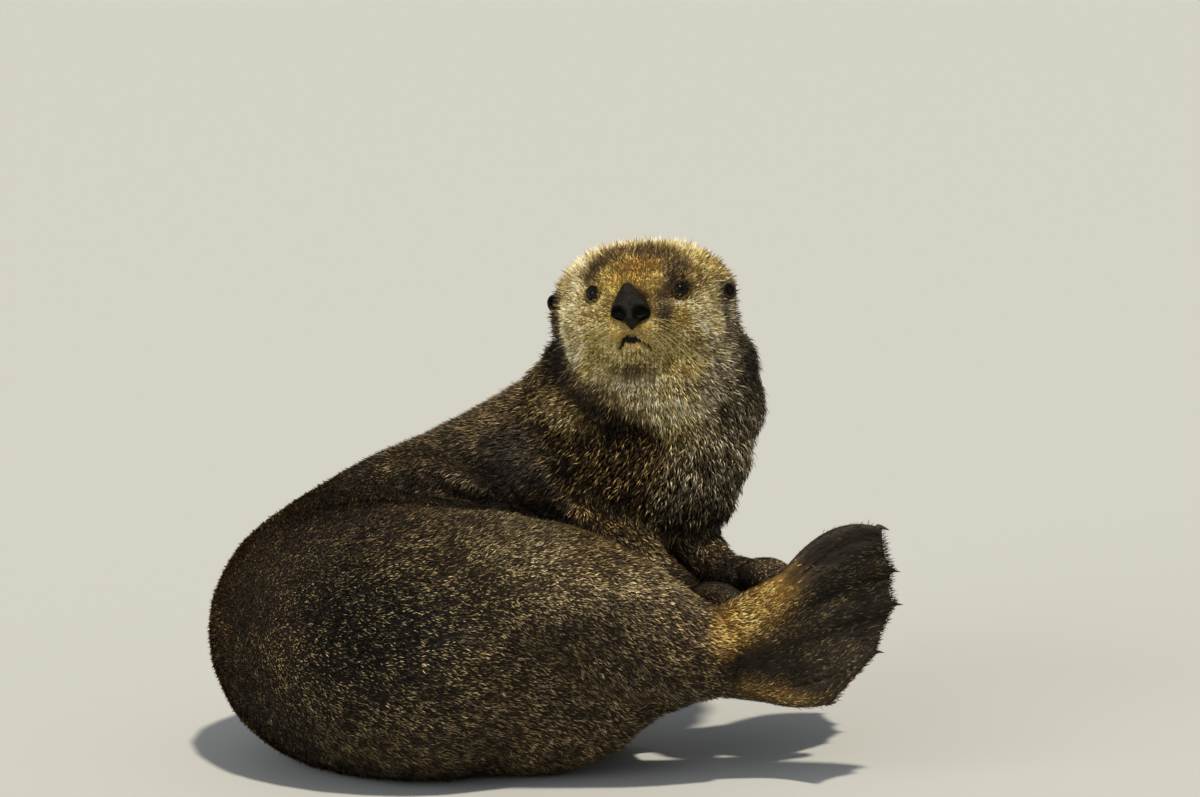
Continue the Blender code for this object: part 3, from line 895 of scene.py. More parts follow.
@dataclass(frozen=True)
class LieOfCoat:
    """Which way the hair lies and how long it is.

    On the body it follows guide lines from the head to the tail and down each limb. A point takes
    the guides' directions and lengths, weighted by e to the minus three times its squared distance
    from each in radii. On the head it spreads from a point inside the muzzle.
    """

    steps: int = 8
    sharpness: float = 3.0
    muzzle: Point = (0.0, 0.052, -0.02)
    face_reach: float = 0.105
    head_reach: float = 0.165
    chunk: int = 20000

    def guides(self) -> tuple[Array, Array]:
        """All guide rows, and their unit tangents."""
        rows, tangents = [], []
        for stations in GUIDES:
            path = smooth_path(stations, self.steps)
            rows.append(path)
            tangents.append(unit(np.gradient(path[:, :3], axis=0)))
        return np.vstack(rows), np.vstack(tangents)

    def body(self, points: Array) -> tuple[Array, Array]:
        """Direction and length by the guides.

        Args:
            points: N points.

        Returns:
            N directions and N lengths in metres.
        """
        rows, tangents = self.guides()
        directions, lengths = np.empty_like(points), np.empty(len(points))
        for start in range(0, len(points), self.chunk):
            part = slice(start, start + self.chunk)
            apart = points[part, None, :] - rows[None, :, :3]
            radii = np.einsum("ijk,ijk->ij", apart, apart) / rows[:, 3] ** 2
            weight = np.exp(-self.sharpness * (radii - radii.min(axis=1, keepdims=True)))
            weight /= weight.sum(axis=1, keepdims=True)
            directions[part] = weight @ tangents
            lengths[part] = weight @ rows[:, 4] * MM
        return unit(directions), lengths

    def at(self, points: Array, normals: Array) -> tuple[Array, Array, Array]:
        """Direction, length and headness of the coat.

        Args:
            points: N points on the skin.
            normals: the skin's normals there.

        Returns:
            N unit directions along the skin, N lengths, and N values that are 1 on the head.
        """
        direction, length = self.body(points)
        local = HEAD.to_head(points)
        away = local - np.array(self.muzzle)
        distance = np.linalg.norm(away, axis=1)
        spread = unit(away) @ HEAD.turn.T
        headness = ramp(self.head_reach, self.face_reach, distance)
        headness *= ramp(-0.15, -0.105, local[:, 2])
        face_length = (3.2 + 9.0 * ramp(0.032, 0.115, distance)) * MM
        direction = mixed(direction, spread, headness)
        length = length + (face_length - length) * headness
        direction = direction - normals * (direction * normals).sum(axis=1, keepdims=True)
        return unit(direction), length, headness


LIE = LieOfCoat()


# ---------------------------------------------------------------- lines on the body

# The top edge of the thigh and hip, from the rump to the elbow.
CREST = ((-0.262, -0.02, 0.234), (-0.215, 0.016, 0.25), (-0.1475, 0.029, 0.254),
         (-0.099, 0.02, 0.2526), (-0.051, 0.009, 0.245), (-0.0025, 0.001, 0.231),
         (0.02, -0.01, 0.215))
# The crease behind the right thigh.
THIGH_CREASE = ((0.01, -0.19, 0.12), (0.023, -0.189, 0.126), (0.055, -0.199, 0.132),
                (0.0925, -0.181, 0.102), (0.093, -0.115, 0.069))
# The crease behind the right shoulder, down to the elbow.
SHOULDER_CREASE = ((-0.0336, 0.0404, 0.3185), (-0.0082, 0.0066, 0.2973), (0.0121, -0.0059, 0.2771),
                   (0.0313, -0.0129, 0.256), (0.0552, -0.025, 0.2408), (0.0801, -0.0279, 0.2316))
# The deepest fold of the flank, and two wrinkles between it and the crest.
FLANK_FOLD = ((-0.1258, 0.0879, 0.2852), (-0.0878, 0.0428, 0.2808), (-0.0673, 0.03, 0.2782),
              (-0.0478, 0.0155, 0.2653), (-0.0227, 0.0043, 0.2449), (0.0, 0.0, 0.23))
LOW_WRINKLE = ((-0.17, 0.055, 0.262), (-0.1488, 0.0415, 0.2603), (-0.1282, 0.0309, 0.2574),
               (-0.1068, 0.0233, 0.254), (-0.085, 0.016, 0.249))
HIGH_WRINKLE = ((-0.145, 0.062, 0.272), (-0.1218, 0.0437, 0.2678), (-0.0991, 0.0265, 0.2593),
                (-0.0767, 0.0151, 0.2506), (-0.058, 0.01, 0.243))
# From a groove of the flank to the top of the ridge above it.
RIDGE_ABOVE = (-0.003, 0.0, 0.012)
# The pale-tipped fringe on the right shoulder with painted light on it, the gully under the cheek
# with painted shade in it, and the pale throat.
SHOULDER_FRINGE = ((-0.004, 0.03, 0.349), (0.0073, 0.008, 0.3449), (0.0218, -0.0089, 0.3362),
                   (0.0342, -0.0173, 0.328))
NECK_GULLY = ((0.015, 0.0036, 0.3573), (0.0361, -0.0191, 0.3448), (0.06, -0.0264, 0.3315),
              (0.0839, -0.0281, 0.3202), (0.1078, -0.0302, 0.308))
THROAT_LINE = ((0.06, -0.038, 0.372), (0.09, -0.042, 0.358), (0.115, -0.036, 0.342),
               (0.135, -0.026, 0.326))
# The golden heel of the right hind foot and the fringe of its inner edge, in foot coordinates.
HEEL_LINE = ((-0.012, 0.0, 0.026), (0.008, 0.0, 0.03), (0.03, 0.0, 0.041), (0.05, 0.0, 0.057),
             (0.067, 0.0, 0.075))
INNER_FRINGE = ((0.012, 0.0, -0.026), (0.035, 0.0, -0.032), (0.06, 0.0, -0.04),
                (0.09, 0.0, -0.046))
# The dark arc over the brows and the line of the lips, as x and z in head coordinates.
BROW_ARC = ((0.046, 0.022), (0.036, 0.035), (0.018, 0.045), (-0.004, 0.0465), (-0.022, 0.0415),
            (-0.034, 0.03), (-0.041, 0.02))
MOUTH_ARC = ((0.0165, -0.0508), (0.0095, -0.043), (0.004, -0.041), (-0.003, -0.044),
             (-0.014, -0.052))


# ---------------------------------------------------------------- markings

class Tone(Enum):
    """The tones of a grizzled northern sea otter, and tones of painted light and shade laid over
    them.

    Each has its underfur, the guard hair's usual tip, its pale tip and the share of pale tips.
    """

    BODY = ("#0c0906", "#382c1d", "#a48f68", 0.31)
    # Paler fur with painted light: the sunlit upper side of the hip, and the lit ridges between the
    # flank's wrinkles.
    PALE_LIT_FLANK = ("#150f0a", "#594931", "#d0bd92", 0.42)
    # Darker fur and painted shade on the middle and front of the hip.
    LOIN_SHADE = ("#050403", "#130e08", "#a3956e", 0.14)
    # Painted shade: near-black fur laid where shade falls, in creases, grooves and hollows.
    SHADE = ("#040302", "#0e0905", "#3b2c17", 0.07)
    NECK = ("#0f0b07", "#35291a", "#b0955f", 0.24)
    # Painted shade: the dark of the gully under the cheek, where the head shades the neck.
    GULLY_SHADE = ("#070503", "#181109", "#6b5632", 0.12)
    THROAT = ("#38301b", "#917c4b", "#eeddaa", 0.5)
    SILVER = ("#17120d", "#585040", "#c4b99c", 0.36)
    # Pale-tipped fur with painted light, for the lit fringe on the shoulder.
    SHOULDER_PALE_AND_LIT = ("#1a120a", "#7b5f33", "#f3dba2", 0.55)
    STRAW = ("#513f1a", "#aa8f45", "#efdf9c", 0.42)
    CREAM = ("#6f5f39", "#c4b27b", "#f6ecc6", 0.5)
    GREY = ("#54472e", "#a29365", "#ece1be", 0.42)
    OCHRE = ("#33220a", "#75541a", "#c0953f", 0.24)
    BROWN = ("#120c06", "#3a2916", "#8f774a", 0.18)
    UMBER = ("#150f08", "#3d2f1d", "#8b7553", 0.2)
    DARK = ("#070403", "#110c09", "#261e17", 0.1)
    FOOT = ("#0d0a06", "#2c2317", "#6f6043", 0.2)
    # Painted light: a lighter tone that lifts the shaded rump end of the hip.
    RUMP_LIGHT = ("#17120c", "#4f3e28", "#b89c70", 0.36)
    HEEL = ("#3d290d", "#a37a30", "#f6d586", 0.44)
    # Pale muzzle fur, brightened further as painted light where the nose shades it.
    LIT_MUZZLE = ("#b08e40", "#f4d87c", "#fff2bc", 0.62)
    GINGER = ("#46300e", "#94742a", "#e0bd5f", 0.3)

    def row(self) -> Array:
        """The three linear colours and the share as ten numbers."""
        return np.concatenate([*map(linear, self.value[:3]), self.value[3:]])

    def over(self, rows: Array, share: Array) -> Array:
        """Lays the tone over rows of tones, by a share for each."""
        return mixed(rows, self.row(), share)

    def rows(self, count: int) -> Array:
        """The tone alone, as so many rows."""
        return np.tile(self.row(), (count, 1))


@dataclass(frozen=True)
class Spot:
    """A soft patch of one tone in head coordinates: its centre and half sizes, in metres."""

    tone: Tone
    x: float
    z: float
    wide: float
    high: float
    strength: float = 1.0

    def share(self, local: Array) -> Array:
        """How much of the tone each point takes."""
        away = ((local[:, 0] - self.x) / self.wide) ** 2 + ((local[:, 2] - self.z) / self.high) ** 2
        return np.minimum(1.0, self.strength * np.exp(-away ** 1.5))


FACE_SPOTS = (
    Spot(Tone.CREAM, 0.0, 0.07, 0.08, 0.024),
    Spot(Tone.CREAM, 0.063, 0.018, 0.012, 0.05, 0.8),
    Spot(Tone.CREAM, 0.052, 0.04, 0.012, 0.014, 0.8),
    Spot(Tone.CREAM, 0.067, -0.036, 0.014, 0.04, 0.8),
    Spot(Tone.GREY, -0.064, -0.028, 0.014, 0.046, 0.9),
    Spot(Tone.BROWN, -0.056, 0.036, 0.014, 0.012, 0.4),
    Spot(Tone.CREAM, 0.0, -0.08, 0.06, 0.011, 0.8),
    # Pale fur with painted light: the muzzle under the nose is made brighter than its shade would let
    # it be.
    Spot(Tone.LIT_MUZZLE, 0.005, -0.041, 0.031, 0.018, 1.0),
    Spot(Tone.GINGER, 0.006, 0.01, 0.028, 0.018, 0.95),
    Spot(Tone.OCHRE, -0.002, 0.029, 0.03, 0.012, 1.0),
    Spot(Tone.UMBER, -0.033, 0.018, 0.01, 0.018, 1.0),
    Spot(Tone.UMBER, -0.029, -0.007, 0.009, 0.014, 1.0),
    Spot(Tone.UMBER, -0.029, -0.024, 0.009, 0.014, 1.0),
    Spot(Tone.UMBER, -0.054, 0.008, 0.006, 0.013, 0.75),
    Spot(Tone.BROWN, -0.04, 0.019, 0.01, 0.006, 0.6),
    Spot(Tone.CREAM, -0.042, -0.0095, 0.014, 0.0035, 0.6),
    Spot(Tone.CREAM, 0.041, -0.008, 0.012, 0.004, 0.5),
    Spot(Tone.BROWN, 0.044, 0.022, 0.004, 0.006, 0.5),
    Spot(Tone.UMBER, 0.028, -0.026, 0.007, 0.01, 0.35),
    Spot(Tone.UMBER, 0.008, -0.07, 0.018, 0.007, 0.85),
    Spot(Tone.STRAW, 0.003, -0.057, 0.012, 0.004, 0.9),
)


# Streaks along lines on the body, each a tone, its line and its strength: the pale shoulder fringe
# with painted light, the pale throat, painted shade in the neck's gully, and on the flank painted
# light on each wrinkle's ridge and painted shade in its groove.
STREAKS = (
    (Tone.SHOULDER_PALE_AND_LIT, Trace(SHOULDER_FRINGE, 0.013), 1.6),
    (Tone.THROAT, Trace(THROAT_LINE, 0.026), 1.15),
    (Tone.GULLY_SHADE, Trace(NECK_GULLY, 0.018), 1.2),
    # Painted light on the ridges and painted shade in the grooves of the flank's wrinkles.
    (Tone.PALE_LIT_FLANK, Trace(LOW_WRINKLE, 0.0066, 0.3, RIDGE_ABOVE), 0.85),
    (Tone.SHADE, Trace(LOW_WRINKLE, 0.0066, 0.3), 1.0),
    (Tone.PALE_LIT_FLANK, Trace(HIGH_WRINKLE, 0.0066, 0.3, RIDGE_ABOVE), 0.85),
    (Tone.SHADE, Trace(HIGH_WRINKLE, 0.0066, 0.3), 1.0),
    (Tone.PALE_LIT_FLANK, Trace(FLANK_FOLD, 0.0066, 0.3, RIDGE_ABOVE), 0.85),
    (Tone.SHADE, Trace(FLANK_FOLD, 0.0105, 0.3), 1.0),
)

# Painted shade in the hollows under the chest, beside the neck and behind the cheek: centre and half
# sizes.
HOLLOW_SHADES = (
    ((0.155, -0.04, 0.176), (0.05, 0.05, 0.03)),
    ((0.192, 0.03, 0.392), (0.018, 0.05, 0.05)),
    ((0.012, 0.03, 0.385), (0.018, 0.04, 0.04)),
)


@dataclass(frozen=True)
class Markings:
    """The tones over the whole animal, by place, with painted light and shade among them.

    The pale disc of the face is a super-ellipse in head coordinates. The cleft is the dark wedge
    between the lips, where the mouth is a little open, painted as shade in the opening.
    """

    back_edge: float = 0.002
    disc_wide: float = 0.075
    disc_middle: float = 0.003
    disc_high: float = 0.0825
    disc_power: float = 2.6
    cleft: Pair = (0.0035, -0.045)
    cleft_size: Pair = (0.0064, 0.0032)
    brow_width: float = 0.0104
    streaks: float = 0.34
    strands: float = 0.42

    def face_disc(self, local: Array) -> Array:
        """1 on the pale head: before the ears and above the jaw, and all over the crown."""
        wide = np.abs(local[:, 0] - self.disc_middle) / self.disc_wide
        high = np.abs(local[:, 2] + 0.002) / self.disc_high
        power = self.disc_power
        inside = ramp(1.05, 0.95, (wide ** power + high ** power) ** (1 / power))
        front = ramp(self.back_edge - 0.008, self.back_edge + 0.01, local[:, 1])
        crown = ramp(0.014, 0.03, local[:, 2]) * ramp(-0.1, -0.045, local[:, 1])
        return np.maximum(inside * front, crown)

    def mouth_line(self, local: Array) -> Array:
        """Distance from the line of the lips, seen from the front, a little ragged with hair."""
        away = off_arc(local, MOUTH_ARC)
        wedge = (((local[:, 0] - self.cleft[0]) / self.cleft_size[0]) ** 2
                 + ((local[:, 2] - self.cleft[1]) / self.cleft_size[1]) ** 2)
        away = np.minimum(away, 0.004 * np.maximum(wedge - 0.75, 0))
        away += 0.0012 * noise(local, 0.0024, 51)
        return np.where(local[:, 1] > 0.03, away, 1.0)

    def tones(self, points: Array) -> Array:
        """Ten numbers for each point, as Tone.row gives them.

        The body's tones are blended in the order of its parts, each by a ramp or a soft spot; some of
        them are painted light and shade.

        Args:
            points: N points on the skin.

        Returns:
            N rows of underfur, tip and pale colours and the pale share.
        """
        cloud = noise(points, 0.05, 3)
        x, y, z = points.T
        row = Tone.BODY.rows(len(points))
        # Painted light, partly paler fur: the upper side of the hip is made lighter where the sun
        # falls on it.
        upper = ramp(0.15, 0.235, z + 0.012 * cloud) * ramp(0.02, -0.05, y) * ramp(-0.14, 0.0, x)
        row = Tone.PALE_LIT_FLANK.over(row, 0.9 * upper)
        # Painted shade, partly darker fur: the middle of the hip is darkened.
        loin_shade = blob(points, (-0.16, -0.19, 0.16), (0.1, 0.1, 0.07))
        row = Tone.LOIN_SHADE.over(row, np.minimum(1, 1.2 * loin_shade))
        # Painted light on the rump end of the hip, lifting its shaded side.
        row = Tone.RUMP_LIGHT.over(row, 0.9 * ramp(-0.215, -0.3, x + 0.01 * cloud))
        # Painted shade on the flank between the hip's crest and the shoulder, where chest and head
        # shade it, and along the crease behind the shoulder; the chest itself is spared.
        crease = Trace(SHOULDER_CREASE, 0.03).near(points)
        chest = ramp(-0.02, 0.015, x - 0.45 * (0.29 - z) + 0.006 * cloud) * ramp(0.2, 0.25, z)
        waist = (ramp(0.215, 0.236, z) * ramp(0.08, 0.04, y) * ramp(-0.03, -0.012, y)
                 * ramp(-0.16, -0.08, x))
        row = Tone.SHADE.over(row, 0.62 * waist * (1 - 0.8 * chest))
        elbow = waist * (ramp(0.03, 0.008, z - 0.262 + 0.5 * (x + 0.035))
                         * ramp(-0.085, -0.045, x))
        row = Tone.SHADE.over(row, np.minimum(1, elbow + 0.8 * crease) * (1 - 0.8 * chest))
        row = Tone.NECK.over(row, chest)
        silver = ramp(0.098, 0.145, x + 0.25 * (0.33 - z)) * ramp(0.215, 0.27, z)
        row = Tone.SILVER.over(row, 0.9 * silver)
        for tone, trace, strength in STREAKS:
            row = tone.over(row, np.minimum(1, strength * trace.near(points)))
        # Painted shade in the hollows.
        for centre, size in HOLLOW_SHADES:
            row = Tone.SHADE.over(row, np.minimum(0.8, 1.2 * blob(points, centre, size)))
        mottle = 1 + 0.28 * noise(points, 0.042, 71) + 0.22 * noise(points, 0.016, 72)
        row[:, :9] *= mottle[:, None]
        row = self.head(row, HEAD.to_head(points))
        return self.feet(row, points)

    def head(self, row: Array, local: Array) -> Array:
        """Lays the head's tones over the body's: straw, then the spots, the brow and the lips.

        Args:
            row: rows of tones.
            local: the points in head coordinates.

        Returns:
            The rows with the head's tones.
        """
        face = Tone.STRAW.rows(len(local))
        for spot in FACE_SPOTS:
            face = spot.tone.over(face, spot.share(local))
        brow = np.exp(-(off_arc(local, BROW_ARC) / self.brow_width) ** 3)
        face = Tone.BROWN.over(face, 0.95 * (brow * ramp(-0.01, 0.012, local[:, 1])))
        away = local - np.array(LIE.muzzle)
        distance = np.linalg.norm(away, axis=1)
        place = 0.09 * unit(away) + 0.16 * distance[:, None]
        streak = noise(place, 0.0055, 61) + 0.6 * noise(place, 0.0028, 62)
        streak *= self.streaks * ramp(0.028, 0.045, distance)
        face = face * (1 + streak)[:, None].clip(0.4, 1.6)
        face = Tone.BROWN.over(face, 0.7 * ramp(-0.055, -0.085, local[:, 1]))
        # Dark lip skin along the mouth, and painted shade in the cleft where the mouth is a little
        # open.
        face = Tone.DARK.over(face, ramp(0.0024, 0.001, self.mouth_line(local)))
        for side in (-1, 1):
            rim = blob(local, (side * 0.044, 0.05, 0.005), (0.0092, 0.016, 0.01))
            face = Tone.DARK.over(face, np.minimum(1, 1.6 * rim ** 2))
            ear = blob(local, (0.003 + side * 0.084, 0.0, 0.004), (0.011, 0.012, 0.012))
            face = Tone.DARK.over(face, np.minimum(1, 1.1 * ear))
        return mixed(row, face, self.face_disc(local))

    def feet(self, row: Array, points: Array) -> Array:
        """Darkens the hind feet, paints shadow on the right sole below its heel, and gilds the right
        heel and its inner edge.

        Args:
            row: rows of tones.
            points: the points.

        Returns:
            The rows with the feet's tones.
        """
        for foot in HIND_FEET:
            local = foot.to_foot(points)
            on_foot = self.on_foot(local)
            reach, angle = foot.on_sole(local)
            place = np.stack([0.12 * angle, 0.1 * reach, np.zeros_like(reach)], axis=1)
            strand = noise(place, 0.006, 81) + 0.7 * noise(place, 0.0026, 82)
            own = Tone.FOOT.rows(len(points))
            own[:, :9] *= (1 + self.strands * strand)[:, None].clip(0.25, 2.0)
            row = mixed(row, own, on_foot)
        local = HIND_FEET[0].to_foot(points)
        sole = ramp(-0.004, 0.004, local[:, 1]) * ramp(-0.024, -0.004, local[:, 0])
        # Painted shadow on the right sole, below the golden heel.
        shadow = blob(local, (0.022, 0.02, -0.004), (0.034, 0.05, 0.016)) * sole
        row = Tone.SHADE.over(row, 0.9 * shadow)
        flat = local * np.array((1.0, 0.0, 1.0))
        gilt = 1.4 * Trace(HEEL_LINE, 0.019).near(flat) + 0.5 * Trace(INNER_FRINGE, 0.01).near(flat)
        return Tone.HEEL.over(row, np.minimum(1, gilt) * sole)

    def on_foot(self, local: Array) -> Array:
        """1 on a hind foot, beyond its ankle."""
        reach = np.linalg.norm(local[:, (0, 2)], axis=1)
        near = ramp(0.075, 0.055, np.abs(local[:, 1]))
        return ramp(0.02, 0.045, local[:, 0]) * near * ramp(0.24, 0.22, reach)

    def bare(self, points: Array) -> Array:
        """1 on the bare outer edge of the hind feet's fifth toes."""
        total = np.zeros(len(points))
        for foot in HIND_FEET:
            local = foot.to_foot(points)
            reach, angle = foot.on_sole(local)
            edge = ramp(0.6, 0.68, angle) * ramp(0.07, 0.1, reach)
            total = np.maximum(total, self.on_foot(local) * edge)
        return total


MARKINGS = Markings()


# ---------------------------------------------------------------- the skin

class Mapped:
    """Values for each vertex of the skin that the coat reads: lie, length, tones and bareness."""

    def __init__(self, mesh: Mesh) -> None:
        """Reads the finished skin and works out all its values."""
        self.points = points_of(mesh)
        self.normals = normals_of(mesh)
        self.flow, self.length, self.headness = LIE.at(self.points, self.normals)
        self.tones = MARKINGS.tones(self.points)
        self.bare = MARKINGS.bare(self.points)
        self.local = HEAD.to_head(self.points)


# Folds of the skin: the height of each ridge, below 0 for a groove, and its line.
FOLDS = (
    (-0.006, Trace(THIGH_CREASE, 0.008)),
    (-0.012, Trace(SHOULDER_CREASE, 0.01)),
    (-0.005, Trace(NECK_GULLY, 0.012)),
    (0.005, Trace(SHOULDER_FRINGE, 0.012)),
    (0.004, Trace(SHOULDER_CREASE, 0.016, shift=(0.016, -0.004, 0.006))),
    (-0.0125, Trace(FLANK_FOLD, 0.009, 0.3)),
    (0.003, Trace(FLANK_FOLD, 0.012, shift=(-0.016, 0.004, -0.006))),
    (-0.01, Trace(LOW_WRINKLE, 0.007, 0.3)),
    (0.0055, Trace(LOW_WRINKLE, 0.0075, 0.3, RIDGE_ABOVE)),
    (-0.01, Trace(HIGH_WRINKLE, 0.007, 0.3)),
    (0.0055, Trace(HIGH_WRINKLE, 0.0075, 0.3, RIDGE_ABOVE)),
)


@dataclass(frozen=True)
class Swell:
    """A soft swelling or hollow: its height, its centre and its half sizes, in metres."""

    height: float
    centre: Point
    size: Point

    def rise(self, points: Array, side: int = 1) -> Array:
        """How far it lifts each point, on its own side or mirrored."""
        x, y, z = self.centre
        return self.height * blob(points, (side * x, y, z), self.size)


# Loose skin over the rump, waist, back, nape and chest, and the hollows above and below the chest.
BODY_SWELLS = (
    Swell(0.008, (-0.19, 0.1, 0.268), (0.07, 0.06, 0.04)),
    Swell(0.0055, (-0.12, 0.11, 0.305), (0.07, 0.06, 0.035)),
    Swell(0.003, (-0.06, 0.1, 0.338), (0.05, 0.06, 0.035)),
    Swell(0.0085, (0.003, 0.04, 0.402), (0.028, 0.05, 0.04)),
    Swell(0.009, (0.2, 0.045, 0.312), (0.026, 0.07, 0.034)),
    Swell(-0.006, (0.184, 0.045, 0.25), (0.024, 0.06, 0.02)),
    Swell(-0.003, (0.196, 0.04, 0.362), (0.024, 0.06, 0.022)),
)
# On each side of the face: eye hollow, brow, side of the bridge, whisker pad and cheek.
PAIRED_SWELLS = (
    Swell(-0.0032, (0.043, 0.05, 0.003), (0.011, 0.02, 0.01)),
    Swell(0.0016, (0.045, 0.045, 0.02), (0.017, 0.02, 0.008)),
    Swell(-0.0022, (0.028, 0.062, -0.006), (0.009, 0.02, 0.014)),
    Swell(0.0034, (0.018, 0.072, -0.034), (0.013, 0.02, 0.012)),
    Swell(0.0018, (0.055, 0.03, -0.03), (0.022, 0.03, 0.022)),
)
# On its middle line: the bridge of the nose and the chin.
MIDDLE_SWELLS = (
    Swell(0.0012, (0, 0.066, 0.008), (0.01, 0.03, 0.014)),
    Swell(0.0022, (0, 0.066, -0.058), (0.016, 0.03, 0.007)),
)


@dataclass
class OtterSkin:
    """One closed skin in place of all the flesh nodes, drawn in by the coat's depth.

    The fine zones are ellipsoids of the head, each a centre and half sizes, with finer faces.
    """

    flesh: tuple[str, ...] = ("head", "neck", "torso", "hips", "right_hind_leg", "left_hind_leg",
                              "tail", "right_foreleg", "left_foreleg")
    paws: tuple[str, ...] = ("right_forepaw", "left_forepaw")
    voxel: float = 0.0049
    passes: int = 14
    paw_voxel: float = 0.0017
    paw_passes: int = 3
    overlap: float = 0.0006
    coat_share: float = 0.36
    least_depth: float = 0.0006
    limb_saving: float = 0.45
    under_tip: float = 0.12
    bare_tip: float = 0.55
    fine_zones: tuple = (((0.0, 0.01, -0.005), (0.112, 0.105, 0.1)),
                         ((0.0, 0.07, -0.018), (0.066, 0.042, 0.05)))

    def build(self, eyes: list["Eye"]) -> Piece:
        """Melts, shapes and joins the body, the paws and the hind feet.

        Args:
            eyes: the eyes that the lids close round.

        Returns:
            The skin, without its finish.
        """
        body = flesh_copy(self.flesh, self.overlap)
        melt(body, self.voxel, self.passes)
        for centre, size in self.fine_zones:
            self.refine(body, centre, size)
        self.shape(body, eyes)
        ends = [foot.piece() for foot in HIND_FEET]
        for name in self.paws:
            paw = flesh_copy((name,), self.overlap)
            melt(paw, self.paw_voxel, self.paw_passes)
            ends.append(paw)
        for end in ends:
            self.unite(body, end)
        body.name = body.data.name = "skin"
        return body

    def refine(self, body: Piece, centre: tuple, size: tuple) -> None:
        """Halves the faces inside an ellipsoid of the head and eases them, to take finer forms.

        Args:
            body: the melted body.
            centre: the ellipsoid's centre in head coordinates.
            size: its half sizes.
        """
        def inside(reach: float) -> Array:
            """Which vertices lie within the ellipsoid, grown by a factor."""
            points = np.array([vert.co for vert in bm.verts])
            away = (HEAD.to_head(points) - np.array(centre)) / np.array(size)
            return (away ** 2).sum(axis=1) < reach ** 2

        bm = bmesh.new()
        bm.from_mesh(body.data)
        bm.verts.index_update()
        chosen = inside(1.0)
        edges = [edge for edge in bm.edges if all(chosen[vert.index] for vert in edge.verts)]
        bmesh.ops.subdivide_edges(bm, edges=edges, cuts=1, use_grid_fill=True)
        bm.verts.ensure_lookup_table()
        fresh = [bm.verts[i] for i in np.flatnonzero(inside(0.97))]
        for _ in range(2):
            bmesh.ops.smooth_vert(bm, verts=fresh, factor=0.5, use_axis_x=True, use_axis_y=True,
                                  use_axis_z=True)
        bm.to_mesh(body.data)
        bm.free()

    def shape(self, body: Piece, eyes: list["Eye"]) -> None:
        """Moves each vertex along its normal by the coat's depth, the folds and the face's forms.

        Then it leans the crown to one side and seats the eyes.

        Args:
            body: the melted body.
            eyes: the eyes that the lids close round.
        """
        mesh = body.data
        points, normals = points_of(mesh), normals_of(mesh)
        _, length, headness = LIE.at(points, normals)
        depth = self.coat_share * length + self.least_depth
        depth *= self.thickness_share(points)
        move = -depth + self.folds(points) + headness * self.face(HEAD.to_head(points))
        points = points + normals * move[:, None]
        local = HEAD.to_head(points)
        lean = headness * ramp(0.05, 0.02, local[:, 1]) * ramp(-0.05, 0.0, local[:, 2])
        lean *= 0.0022 + 0.0115 * ramp(-0.03, -0.085, local[:, 0])
        points += lean[:, None] * HEAD.turn[:, 0]
        for eye in eyes:
            points = eye.seat(points)
        set_points(mesh, points)

    def thickness_share(self, points: Array) -> Array:
        """Less depth on tail, ankles and wrists, which are thin."""
        x, _, z = points.T
        limb = ramp(0.1, 0.17, x) * ramp(0.3, 0.24, z)
        return 1 - self.limb_saving * limb

    def folds(self, points: Array) -> Array:
        """Folds of loose skin over the hip, at the waist and behind the thigh, and swells.

        Args:
            points: N points on the body.

        Returns:
            How far each is lifted, in metres.
        """
        total = 0.0012 * noise(points, 0.055, 11) + 0.0006 * noise(points, 0.022, 12)
        for swell in BODY_SWELLS:
            total += swell.rise(points)
        total -= Trace(CREST, 0.01).near(points) * 0.01 * ramp(-0.12, -0.04, points[:, 0])
        above = off_line(points, CREST)[0][:, 2]
        total += 0.005 * Trace(CREST, 0.026).near(points) * ramp(0.004, -0.012, above)
        for height, trace in FOLDS:
            total += height * trace.near(points)
        return total

    def face(self, local: Array) -> Array:
        """Brows, eye hollows, bridge, whisker pads, lip groove, mouth and chin, as soft spots.

        Args:
            local: N points in head coordinates.

        Returns:
            How far each is lifted, in metres.
        """
        total = np.zeros(len(local))
        for side in (-1, 1):
            for swell in PAIRED_SWELLS:
                total += swell.rise(local, side)
        groove = np.exp(-(local[:, 0] / 0.003) ** 2)
        total -= 0.003 * groove * blob(local, (0, 0.08, -0.039), (0.02, 0.03, 0.01))
        for swell in MIDDLE_SWELLS:
            total += swell.rise(local)
        lips = np.exp(-(MARKINGS.mouth_line(local) / 0.0026) ** 2)
        total -= 0.0042 * lips * ramp(0.0, 0.03, local[:, 1])
        return total

    def unite(self, body: Piece, end: Piece) -> None:
        """Joins one end into the body as one closed mesh."""
        union = body.modifiers.new("unite", "BOOLEAN")
        union.operation = "UNION"
        union.solver = "MANIFOLD"
        union.object = end
        apply_modifiers(body)
        bpy.data.objects.remove(end)

    def finish(self, skin: Piece, mapped: Mapped, material: Material) -> None:
        """Marks, unwraps and dresses the skin.

        Args:
            skin: the built skin.
            mapped: its values.
            material: its finish.
        """
        mesh = skin.data
        under = mapped.tones[:, 0:3]
        tip = mapped.tones[:, 3:6]
        marking = mixed(under * 0.9, tip, self.under_tip + self.bare_tip * mapped.bare)
        set_colours(mesh, "marking", marking)
        set_values(mesh, "bare", mapped.bare)
        mesh.polygons.foreach_set("use_smooth", np.full(len(mesh.polygons), True))
        unwrap(skin)
        feet = (foot.node for foot in HIND_FEET)
        dress(skin, material, "short_fur", *self.flesh, *self.paws, *feet)


